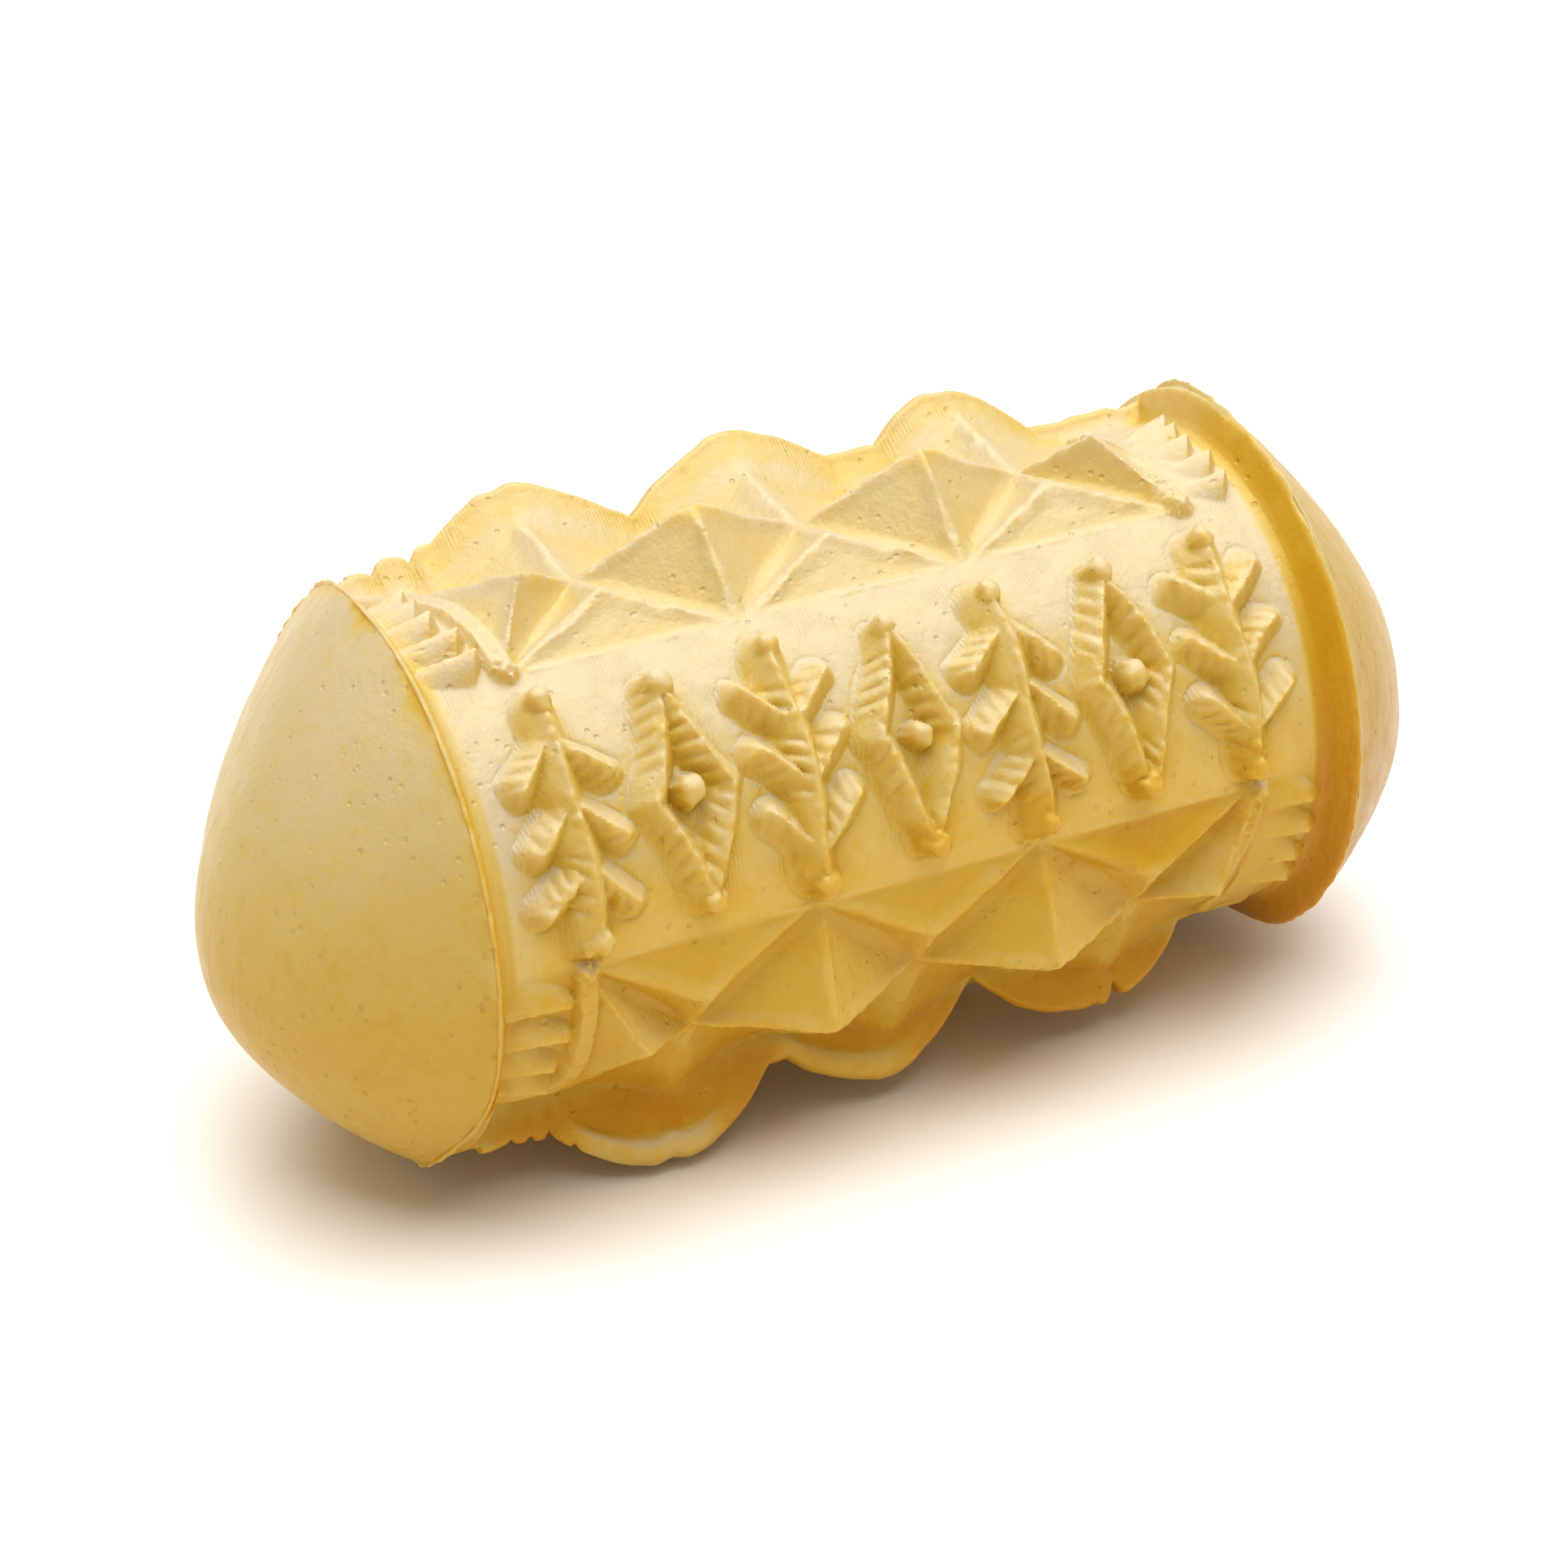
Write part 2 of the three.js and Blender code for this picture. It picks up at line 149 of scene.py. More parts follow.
def cone_radius(end, x, cosine, sine):
    """The end pyramid's far side: straight lines from its peak to the barrel's circle, cut at x."""
    share = (x * end - END_PEAK[0]) / (LATTICE_END - END_PEAK[0])
    turn = math.radians(END_PEAK[1])
    middle = (1 - share) * END_PEAK[2]
    along = middle * (math.cos(turn) * cosine + math.sin(turn) * sine)
    under = (share * GROUND) ** 2 - middle * middle + along * along
    radius = along + np.sqrt(np.maximum(under, 0))
    side = radius * sine - middle * math.sin(turn)
    beta = np.degrees(np.arctan2(side, radius * cosine - middle * math.cos(turn)))
    on_arc = (share > 0) & (under > 0) & (beta > BAND_ANGLE) & (beta < SEAM_ANGLE)
    return np.where(on_arc, radius, NOWHERE)


def tent(facets, strip):
    """Lowest facet, with a flat strip along each ridge, and how far each point is from a ridge."""
    ranked = np.sort(np.stack(facets), axis=0)
    lowest, second = ranked[0], ranked[1]
    flat = (lowest + second) / 2 - strip
    return np.minimum(lowest, flat), second - lowest


GABLE_STRIP = 0.22
PEAK_STRIP = 0.28
END_STRIP = 0.12
SEAM_STRIP = {"top": 0.08, "bottom": 0.5}
VALLEY_FILLET = 0.35
BLUNT_FROM = 43.9


def row_of(columns, angle, radius):
    """Corners of the lattice at one angle, under their columns' numbers."""
    return {k: node(k, angle, radius) for k in columns}


def corner_tent(corner_sets, there, ray, strip, extra=()):
    """Height and ridge distance of a tent over sets of three corners, 0 outside its place."""
    facets = [facet_radius(corners, *ray) for corners in corner_sets]
    height, ridge = tent(facets + list(extra), strip)
    return np.where(there, height, 0), ridge


def gable_corners(column, foot, valley):
    """The three facets of a gable: its front and its two backs."""
    gable = node(column, *GABLE)
    return [
        (foot[column - 1], foot[column + 1], gable),
        (foot[column - 1], gable, valley[column]),
        (foot[column + 1], gable, valley[column]),
    ]


def peak_corners(column, foot, valley, dip):
    """The four facets of a pyramid, two towards the band and two towards the seam."""
    peak = node(column, *PEAK)
    return [
        corners
        for step in (-1, 1)
        for corners in (
            (foot[column], peak, valley[column + step]),
            (valley[column + step], peak, dip[column]),
        )
    ]


def seam_tent(column, valley, dip, at_top, there, ray, worn):
    """The half pyramid against the seam, taller at the top seam than at the bottom one."""
    sides = {}
    for place, radius in SEAM_CREST.items():
        crest = node(column, SEAM_ANGLE, radius)
        sides[place] = [facet_radius((valley[column], crest, dip[column + step]), *ray) for step in (-1, 1)]
    facets = [np.where(at_top, upper, lower) for upper, lower in zip(sides["top"], sides["bottom"])]
    height, ridge = tent(facets, np.where(at_top, SEAM_STRIP["top"], SEAM_STRIP["bottom"]) * worn)
    return np.where(there, height, 0), ridge


def pyramids(x, angle, at_top, worn):
    """Radius of the pressed lattice, and the distances from ridges and from valleys."""
    turn = np.radians(angle)
    ray = (x, np.cos(turn), np.sin(turn))
    foot = row_of((-3, -1, 1, 3), BAND_ANGLE, GROUND)
    dip = row_of((-3, -1, 1, 3), SEAM_ANGLE, GROUND)
    valley = row_of((-2, 0, 2), VALLEY_ANGLE, GROUND)

    def near(column, reach):
        return np.abs(x - column * PITCH / 2) < reach

    reach = 1.25 * PITCH / 2
    tents = []
    for column in (-2, 0, 2):
        there = near(column, reach) & (angle < VALLEY_ANGLE + 2)
        tents.append(corner_tent(gable_corners(column, foot, valley), there, ray, GABLE_STRIP * worn))
        there = near(column, 22) & (angle > VALLEY_ANGLE - 2)
        tents.append(seam_tent(column, valley, dip, at_top, there, ray, worn))
    for column in (-1, 1):
        corners = peak_corners(column, foot, valley, dip)
        tents.append(corner_tent(corners, near(column, reach), ray, PEAK_STRIP * worn))
    for end in (-1, 1):
        peak = node(0, *END_PEAK[1:]) + [end * END_PEAK[0], 0, 0]
        corners = [(foot[3 * end], peak, valley[2 * end]), (valley[2 * end], peak, dip[3 * end])]
        there = near(end * 2 * END_PEAK[0] / PITCH, 16)
        cone = cone_radius(end, *ray)
        tents.append(corner_tent(corners, there, ray, END_STRIP * worn, [cone]))

    heights = np.stack([t[0] for t in tents])
    ridges = np.stack([t[1] for t in tents])
    order = np.argsort(heights, axis=0)
    best = np.take_along_axis(heights, order[-1:], 0)[0]
    after = np.take_along_axis(heights, order[-2:-1], 0)[0]
    ridge = np.take_along_axis(ridges, order[-1:], 0)[0]
    pressed = soft_max(best, after, VALLEY_FILLET)
    return pressed - 0.4 * np.maximum(pressed - BLUNT_FROM, 0), ridge, best - after


# %% [markdown]
# ## The carving on the bands
# The mould's bands were cut with a knife in V-shaped strokes, so on the cheese every stroke stands up
# as a little roof. Here fir sprigs and lozenges take turns. A stroke's height falls in a straight line
# from its crest to its foot, so the distance from a line is all that is needed. The curd shrank in
# the cuts and left rope-like ripples across the flanks, and round knobs where the knife was turned.

# %% Roofs, ripples and knobs of the carving
MOTIF_STEP = 17.0
MOTIF_COUNT = 7
CARVING_MIDDLE = -2.0
STROKE_RISE = 3.9
STEM_WIDTH = 3.6
TWIG_WIDTH = 2.8
BAR_WIDTH = 3.0
SPRIG_REACH = 25.5
TWIG_REACH = 6.4
TWIGS = (-18.0, -4.5, 9.0)
TWIG_TURN = 9.0
LOZENGE_REACH = 23.0
LOZENGE_WIDTH = 5.4
END_KNOB = (1.9, 3.0)
MIDDLE_KNOB = (2.1, 1.9)


def lozenge(x):
    """Four bars round a knob, with a knob at either tip."""
    lines, knobs = [], []
    for end in (-1, 1):
        tip = CARVING_MIDDLE + end * LOZENGE_REACH
        knobs.append((x, tip, *END_KNOB))
        for side in (-1, 1):
            corner = x + side * LOZENGE_WIDTH
            lines.append((x, tip, corner, CARVING_MIDDLE, BAR_WIDTH, STROKE_RISE))
    knobs.append((x, CARVING_MIDDLE, *MIDDLE_KNOB))
    return lines, knobs


def sprig(x, up):
    """A stem with three pairs of twigs, pointing up or down the band."""
    foot, tip = (CARVING_MIDDLE + up * k for k in (-SPRIG_REACH, SPRIG_REACH))
    lines = [(x, foot, x, tip, STEM_WIDTH, STROKE_RISE + 0.3)]
    for twig in TWIGS:
        start = CARVING_MIDDLE + up * twig
        finish = CARVING_MIDDLE + up * (twig + TWIG_TURN)
        for side in (-1, 1):
            lines.append((x, start, x + side * TWIG_REACH, finish, TWIG_WIDTH, STROKE_RISE - 0.5))
    return lines, [(x, foot, *END_KNOB), (x, tip, *END_KNOB)]


def strokes():
    """Strokes as (x0, angle0, x1, angle1, half width, height), knobs as (x, angle, radius, rise)."""
    lines, knobs = [], []
    for i in range(MOTIF_COUNT):
        x = (i - (MOTIF_COUNT - 1) / 2) * MOTIF_STEP
        more_lines, more_knobs = lozenge(x) if i % 2 else sprig(x, 1 if i % 4 else -1)
        lines += more_lines
        knobs += more_knobs
    return lines, knobs


def strands(t, off, length, rng):
    """Rope-like ripples: |sin| of the way along, slanted with the distance off, in two stretches."""
    pitch = rng.uniform(1.9, 2.5)
    slant = rng.choice([-1, 1]) * rng.uniform(0.4, 0.9)
    lumps = np.abs(np.sin(np.pi * (t + slant * off + 0.3 * np.sin(t / 2.9)) / pitch)) - 0.62
    total = np.zeros(t.shape)
    for _ in range(2):
        start = rng.uniform(-0.1, 0.75) * length
        reach = rng.uniform(5, 11)
        stretch = smooth_step(0, 1.2, t - start) * smooth_step(0, 1.6, start + reach - t)
        total = np.maximum(total, stretch)
    return lumps * total * rng.uniform(0.55, 1.0)


def stroke_roof(x, v, line, crumbs, swell, rng):
    """One stroke: a roof falling from its crest, steeper on one side, round at its ends, with ripples."""
    x0, a0, x1, a1, width, rise = line
    start, finish = np.array([x0, a0 * ARC]), np.array([x1, a1 * ARC])
    length = np.hypot(*(finish - start))
    along_x, along_v = (finish - start) / length
    t = (x - x0) * along_x + (v - start[1]) * along_v
    across = -(x - x0) * along_v + (v - start[1]) * along_x
    across = across + 0.4 * np.sin(t / rng.uniform(3, 5) + rng.uniform(0, 6))
    leftward = across * np.sign(along_v) > 0
    past = np.maximum(np.maximum(-t, t - length), 0)
    off = np.hypot(np.abs(across) * np.where(leftward, 0.88, 1.3), 1.1 * past)
    roof = rise * (1 - off / (width * (1 + 0.12 * swell)))
    belly = np.clip(3.2 * (off / width) * (1 - off / width), 0, 1) + 0.15
    belly = belly * np.where(leftward, 1.0, 0.35)
    roof = roof + 0.26 * width * strands(t, off, length, rng) * belly
    roof = roof + 0.42 * swell * belly + 0.50 * crumbs * smooth_step(1.3, 0.1, off)
    roof = np.minimum(roof, 0.5 * (roof + rise) - 0.18)
    return np.where(past < width, roof, -1)


def torn_ends(lines, half_seed, rng):
    """Three crumbs of curd at the lower end of each long stroke, as small knobs."""
    crumbs = []
    for x0, a0, x1, a1, _, _ in lines:
        bottom = min(a0, a1) if half_seed == 0 else max(a0, a1)
        if abs(bottom - CARVING_MIDDLE) > 0.8 * LOZENGE_REACH:
            at = x0 if bottom == a0 else x1
            for _ in range(3):
                spot = (at + rng.uniform(-1.8, 1.8), bottom + rng.uniform(-2.5, 2.5))
                crumbs.append((*spot, rng.uniform(0.8, 1.4), rng.uniform(0.6, 2.4)))
    return crumbs


def carving(x, angle, half_seed):
    """Height over the ground: the highest of all roofs, and the knobs, which are balls sunk in."""
    v = angle * ARC
    flat = np.stack([x, v, np.full(x.shape, 60.0 * half_seed)], axis=-1)
    crumbs = soft_noise(flat, 1.0, SEED + 11)
    swell = soft_noise(flat, 3.6, SEED + 12)
    height = np.full(x.shape, -1.0)
    lines, knobs = strokes()
    rng = np.random.default_rng(SEED + half_seed)
    for line in lines:
        height = soft_max(height, stroke_roof(x, v, line, crumbs, swell, rng), 0.25)
    knobs += torn_ends(lines, half_seed, rng)
    for x0, a0, size, centre in knobs:
        off = np.hypot(x - x0 - rng.uniform(-0.4, 0.4), v - a0 * ARC - rng.uniform(-0.4, 0.4))
        off = off + 0.35 * crumbs
        size = size * rng.uniform(0.75, 1.05)
        ball = centre + np.sqrt(np.maximum(size * size - off * off, 0)) - 4 * np.maximum(off - size, 0)
        height = soft_max(height, ball, 0.25)
    return height


# %% [markdown]
# ## Pleats and slanted ridges
# Beside each rim a row of short blades fans round the barrel. A knife cut each one with two strokes, so
# it has a slanted end with a point, a bulging flank towards the band and a steep back, and it runs out
# at its other end. A low ridge in a slanting line parts the blades from the last pyramids.

# %% Blades and slanted ridges
UPPER_PLEATS = (37.0, 44.5, 52.0, 58.5, 64.0)
LOWER_PLEATS = (38.5, 47.5, 56.5, 65.0)
FIRST_PLEAT = 38.0
PLEAT_FLOOR = 35.6
TOP_BLADES = ((-54.6, -65.6, -0.12, 2.6, 3.7), (61.8, 53.4, 0.0, 2.6, 2.775))
LOW_BLADES = ((-53.9, -65.6, -0.05, 1.3, 3.0), (62.8, 54.0, 0.0, 0.8, 2.25))
UPPER_LEFT_RIDGE = ((-52.4, 35), (-52.6, 47), (-53.6, 60), (-57, 74), (-62, 84))
LOWER_LEFT_RIDGE = (
    (-52.4, 35), (-52.2, 47), (-52.4, 60), (-53.2, 67), (-55.2, 71), (-60, 69.5), (-65.5, 66),
)
RIGHT_RIDGE = ((52.2, 35), (51, 44), (49.4, 54), (46.4, 63))


def blade(from_cut, off, length, tall, steep):
    """The lowest of a bulging flank, a steep back and a slanted end; with a gentle end it is a lens."""
    t = np.clip(from_cut / length, 0, 1)
    crest = tall * (1 - t) ** 0.9 + 0.15
    reach = 4.6 - 2.6 * t if steep > 2 else 1.0 + 3.3 * np.sin(0.85 * np.pi * t)
    share = np.clip((1.6 - off) / reach, 0, 1.4)
    flank = crest * (1 - share ** 1.7)
    back = crest - 3.6 * np.maximum(off - 1.6, 0)
    end = steep * (from_cut - 0.75 * np.maximum(1.6 - off, 0)) + 0.5
    height = np.minimum(np.minimum(flank, back), end)
    return height - 2.5 * np.maximum(from_cut - length, 0)


def pleats(x, angle, at_top):
    """Radius of the blades beside both rims; each row has its cut, tail, slant, end slope and height."""
    radius = np.zeros(x.shape)
    for angles, there, shapes in ((UPPER_PLEATS, at_top, TOP_BLADES), (LOWER_PLEATS, ~at_top, LOW_BLADES)):
        for cut_at, tail_at, slant, steep, tall in shapes:
            way = math.copysign(1, tail_at - cut_at)
            for i, middle in enumerate(angles):
                cut = cut_at + slant * (middle - FIRST_PLEAT) + 0.5 * math.sin(2.1 * i)
                from_cut = (x - cut) * way
                off = (angle - middle - 0.02 * from_cut ** 2) * ARC
                height = blade(from_cut, off, abs(tail_at - cut_at), tall, steep)
                radius = soft_max(radius, np.where(there, PLEAT_FLOOR + height, 0), 0.35)
    return radius


def off_line(x, v, path):
    """Distances from the straight pieces of a bent line, one piece at a time."""
    for (x0, a0), (x1, a1) in zip(path, path[1:]):
        along = np.array([x1 - x0, (a1 - a0) * ARC])
        share = ((x - x0) * along[0] + (v - a0 * ARC) * along[1]) / (along @ along)
        share = np.clip(share, 0, 1)
        yield np.hypot(x - x0 - share * along[0], v - a0 * ARC - share * along[1])


def slanted_ridges(x, angle, at_top):
    """Height of the low ridges: distance from a bent line, flat on top, with a knob at its foot."""
    height = np.full(x.shape, -1.0)
    v = angle * ARC
    groove = np.where(x > 0, 0.4, 0.12)
    for path, tall, there in (
        (UPPER_LEFT_RIDGE, 1.2, at_top),
        (LOWER_LEFT_RIDGE, 1.5, ~at_top),
        (RIGHT_RIDGE, 1.5, True),
    ):
        for off in off_line(x, v, path):
            strip = np.minimum(tall, 3.2 - 1.5 * off)
            strip = strip - groove * np.exp(-(((off - 0.3) / 0.35) ** 2))
            height = np.where(there, np.maximum(height, strip), height)
        off = np.hypot(x - path[0][0], v - path[0][1] * ARC)
        off = off + 0.5 * np.sin(3.1 * x) * np.sin(2.7 * v + 1)
        knob = 0.6 + np.sqrt(np.maximum(2.4 - off * off, 0)) - 4 * np.maximum(off - 1.55, 0)
        height = soft_max(height, knob, 0.4)
    return height


# %% [markdown]
# ## The flash fins
# Where the mould's halves meet, curd leaked out and set as a thin wavy fin along the seam. Its outline
# is a row of lumps: each falls away from its crest to a cusp where the next one starts. Slits and a torn
# notch cut into it. Seen from the end it is a narrow blade, so its radius drops steeply with the distance
# from the seam, and along part of the lower fin its edge is rolled into a thicker bead. Each lump is listed
# as centre, crest, fall, reach and power, each slit as place, depth and width, each bead as start, end, size.

# %% Outline and thickness of the fins
FINS = {
    "top": {
        "floor": (39.3, 38.8),
        "lumps": [
            (-34.6, 48.1, 8.5, 17.2, 1.4), (0, 48.3, 8.5, 17.2, 1.4), (19, 41.7, 1.0, 10, 2),
            (33.2, 47.3, 8.5, 13.5, 1.6), (-48.0, 43.0, 1.8, 2.7, 2.2), (-53.6, 41.8, 1.6, 3.1, 2.2),
            (-59.4, 40.5, 1.0, 2.9, 2),
        ],
        "slits": ((-50.6, 0.15, 0.5), (-56.5, 0.2, 0.4)),
        "slope": 2.0,
        "fillet": 1.8,
        "beads": (),
    },
    "bottom": {
        "floor": (40.0, 35.8),
        "lumps": [
            (-36.4, 49.3, 10.9, 18.8, 2), (-2.6, 46.3, 10.9, 18.2, 1.5), (32.2, 44.8, 9.4, 17.5, 2.1),
            (-54.4, 41.4, 0.5, 1.4, 2), (-57.2, 41.0, 0.5, 1.4, 2), (-61.6, 40.8, 0.4, 2.9, 2),
            (34.0, 45.3, 1.6, 1.3, 2),
        ],
        "slits": (
            (-49.8, 0.7, 0.4), (-53.0, 0.5, 0.32), (-55.8, 0.4, 0.32), (-58.7, 0.3, 0.32), (36.2, 2.1, 0.8),
        ),
        "slope": 4.5,
        "fillet": 0.8,
        "beads": ((-50.0, -29.0, 1.0), (-18.0, 2.0, 0.7)),
    },
}
BEAD_DEPTH = 4.2
BEAD_PUSH = 1.15


def fin_outline(x, fin):
    """Highest lump at x, crest - fall (away / reach)^power with a blunt tip, and never under the floor."""
    radius = np.where(x < 0, fin["floor"][0], fin["floor"][1])
    for centre, crest, fall, reach, power in fin["lumps"]:
        blunt = reach / 7
        away = (np.hypot(x - centre, blunt) - blunt) / (math.hypot(1, 1 / 7) - 1 / 7)
        radius = np.maximum(radius, crest - fall * (away / reach) ** power)
    for slit, depth, width in fin["slits"]:
        radius = radius - depth * np.exp(-(((x - slit) / width) ** 2))
    return radius


def bead_share(x, fin):
    """How thick the fin's edge is at x, from 0 to 1, with soft ends to each stretch."""
    share = np.zeros(x.shape)
    for first, last, size in fin["beads"]:
        stretch = smooth_step(first - 2, first + 3, x) * smooth_step(last + 5, last - 5, x)
        share = np.maximum(share, size * stretch)
    return share


def bead(off_seam, depth, free):
    """How far a point is pushed off the seam, in mm: a half wave over the top 4 mm of a tall fin."""
    wave = np.sin(np.pi * np.clip(depth / BEAD_DEPTH, 0, 1))
    return BEAD_PUSH * wave * smooth_step(0.1, 0.9, np.abs(off_seam)) * smooth_step(1.5, 4.5, free)


def flash(x, off_seam, outline, fin):
    """Fin radius: the outline less a round edge near the seam and a steep wall beyond it."""
    half = 1.25 + 0.25 * np.sin(x / 6.3)
    off = np.abs(off_seam - 0.45 * np.sin(x / 8.7 + 0.6))
    edge = 1.1 * (1 - np.sqrt(np.maximum(1 - (off / half) ** 2, 0)))
    wall = fin["slope"] * np.maximum(off - 0.9 * half, 0)
    return outline - np.minimum(edge, 1.1) - wall


# %% [markdown]
# ## The rims and the domes
# The curd that stood out of the mould's two mouths bulged into leaning domes, and the mould's ends
# pressed a flange round each. One line, from the plain ground up the flange and over the dome to
# its tip, is carried round the axis. The corners at the seams are drawn out, and the dome's circles
# move sideways as they shrink, which makes it lean.

# %% One line from the ground to the tip
DOMES = {
    -1: {"base": 39.9, "height": 27.6, "lean": 7.5, "lean_angle": -78.0, "top": 2.4, "bottom": -4.6},
    1: {"base": 40.1, "height": 24.8, "lean": 6.2, "lean_angle": -94.0, "top": 4.4, "bottom": -0.4},
}
DOME_POWER = 1.9
WALL_FOOT = 61.6
WALL_LINE = (
    (52.5, 35.8), (58.5, 35.6), (WALL_FOOT, 35.3), (63.0, 35.3), (64.0, 35.75), (64.7, 36.7), (65.2, 37.8),
    (65.7, 38.9), (66.1, 39.75), (66.45, 40.2), (66.75, 40.35), (66.95, 40.2), (67.0, 39.9),
)


def near_seam(angle, seam):
    """Bell curve of the distance from a seam: exp(-(away / 20)^2)."""
    away = np.abs((angle - seam + 540) % 360 - 180)
    return np.exp(-((away / 20) ** 2))


def barrel_rows():
    """Row positions along the barrel between the wall's feet, a third of a millimetre apart."""
    return np.linspace(-WALL_FOOT, WALL_FOOT, 385)


def wall_rows():
    """Distances along x, and radii, of the flange: even steps along the wall line."""
    line = np.array([p for p in WALL_LINE if p[0] >= WALL_FOOT])
    length = np.concatenate([[0], np.cumsum(np.hypot(*np.diff(line, axis=0).T))])
    at = np.linspace(0, length[-1], 30)
    return np.interp(at, length, line[:, 0]), np.interp(at, length, line[:, 1])


def columns():
    """Angles of the grid's columns: 0.45 degrees apart, and finer in the fins at the seams."""
    fine = np.linspace(-3.6, 3.6, 61)
    wide = np.linspace(3.6, 176.4, 385)[1:-1]
    return np.concatenate([fine + 90, wide + 90, fine + 270, wide + 270]) - 180


# %% [markdown]
# ## The barrel
# All the parts above are radii for a point of length and angle, so the barrel takes the largest of
# them. The lattice first drifts a little off its plan, its ridges are worn unevenly and its facets sag.

# %% Radius of the barrel
def worn_lattice(x, quarter, at_top, bare, wave, grain):
    """Radius of the plain ground and of the lattice: drifted, worn, bordered, sagged and torn by noise."""
    drift = smooth_step(BAND_ANGLE, BAND_ANGLE + 6, quarter)
    drift_x = 0.45 * soft_noise(bare, 13.0, SEED + 21) * drift
    drift_a = 0.7 * soft_noise(bare, 13.0, SEED + 22) * drift
    worn = 0.9 + 0.8 * soft_noise(bare, 4.2, SEED + 23)
    lattice, ridge, valley = pyramids(x + drift_x, quarter + drift_a, at_top, worn)
    inside = np.abs(x) <= LATTICE_END
    ground = np.interp(np.abs(x), [p[0] for p in WALL_LINE], [p[1] for p in WALL_LINE])
    in_lattice = inside & (quarter > BAND_ANGLE)
    radius = np.where(in_lattice, lattice, ground)

    border = np.exp(-(((ridge - 0.72 * worn) / 0.22) ** 2)) * smooth_step(0.8, 2.2, valley)
    border = border * smooth_step(BAND_ANGLE, BAND_ANGLE + 4, quarter) * (0.5 + 1.2 * grain)
    edge_line = np.exp(-(((quarter - BAND_ANGLE) * ARC / 0.4) ** 2))
    edge_line = edge_line * smooth_step(-0.2, 0.5, wave + grain)
    radius = radius + np.where(inside, 0.14 * border * in_lattice + 0.22 * edge_line, 0)

    sag = smooth_step(0.1, 3.0, ridge) * smooth_step(0.0, 2.5, valley)
    sag = sag * smooth_step(BAND_ANGLE, BAND_ANGLE + 2.5, quarter)
    radius = radius - np.where(in_lattice, 0.55 * sag, 0)
    torn = soft_noise(bare, 1.5, SEED + 24)
    torn = torn * smooth_step(1.0, 0.2, ridge) * smooth_step(1.0, 3.0, valley)
    radius = radius + 0.28 * torn * smooth_step(BAND_ANGLE, BAND_ANGLE + 8, quarter) * in_lattice
    return radius + np.where(in_lattice, 0.17, 0.10) * wave + 0.05 * grain


def with_fins(radius, x, angle, at_top, bare):
    """Radius with the fins on it, and the small turn in degrees that rounds out their beads."""
    quarter = np.abs(angle)
    off_seam = np.radians(quarter - SEAM_ANGLE) * 40
    ragged = 0.35 * soft_noise(bare * [1, 0, 0], 2.6, SEED + 3)
    push = np.zeros(x.shape)
    for fin, here in ((FINS["top"], at_top), (FINS["bottom"], ~at_top)):
        here = here & (quarter > 78)
        outline = fin_outline(x, fin) + ragged
        free = outline - radius
        wall = np.where(here, flash(x, off_seam, outline, fin), 0)
        radius = soft_max(radius, wall, fin["fillet"])
        push = np.where(here, bead(off_seam, outline - radius, free) * bead_share(x, fin), push)
    return radius, -np.sign(angle) * np.degrees(push / radius)


def barrel(x, psi):
    """Radius of the barrel at x and angle psi, and the small turn that rounds out the fins' beads."""
    front = np.abs(psi) <= 90
    angle = np.where(front, psi, (psi + 360) % 360 - 180)
    quarter = np.abs(angle)
    at_top = psi > 0
    phi = np.radians(psi + FRONT_TURN)
    bare = np.stack([x, -GROUND * np.cos(phi), GROUND * np.sin(phi)], axis=-1)
    wave = soft_noise(bare, 9.0, SEED + 1)
    grain = soft_noise(bare, 2.3, SEED + 2)
    radius = worn_lattice(x, quarter, at_top, bare, wave, grain)

    cut = np.where(front, carving(x, angle, 0), carving(x, angle, 1))
    radius = radius - 0.2 * np.exp(-(((cut + 0.3) / 0.35) ** 2))
    radius = soft_max(radius, GROUND + np.where(cut > -0.9, cut, -30), 0.2)
    radius = soft_max(radius, np.where(quarter > 30, pleats(x, quarter, at_top), 0), 0.3)
    radius = soft_max(radius, GROUND + slanted_ridges(x, quarter, at_top), 0.5)
    return with_fins(radius, x, angle, at_top, bare)


# %% [markdown]
# ## The whole skin
# The barrel's rows come first, then those of the flanges and the domes, and each dome closes in a single
# tip. Near the seams the rims are drawn out along the barrel and lifted a little. The two lowest peaks
# were pressed flat by the weight on the shelf, so no point may lie under the floor.

# %% Points of the grid
DRAWN_OUT = ((52.5, 0.0), (64.1, 0.5), (65.53, 0.9), (66.3, 1.0))
KEEL = 0.6
DOME_ROWS = 72


def drawn_share(x):
    """How much of a corner's stretch a point takes: 0 on the barrel, 1 at the rim."""
    return np.interp(x, *zip(*DRAWN_OUT))


def corner_stretch(dome, psi):
    """How far the rim is drawn out along x at each angle, in mm."""
    return dome["top"] * near_seam(psi, 90) + dome["bottom"] * near_seam(psi, -90)


def keel(psi):
    """The small lift of the rim over each seam, in mm."""
    return near_seam(psi, 90) ** 4 + near_seam(psi, -90) ** 4


def ring(x, r, phi):
    """Points at x and radius r, turned by phi, in the axis frame."""
    return np.stack(np.broadcast_arrays(x, -r * np.cos(phi), r * np.sin(phi)), axis=-1)


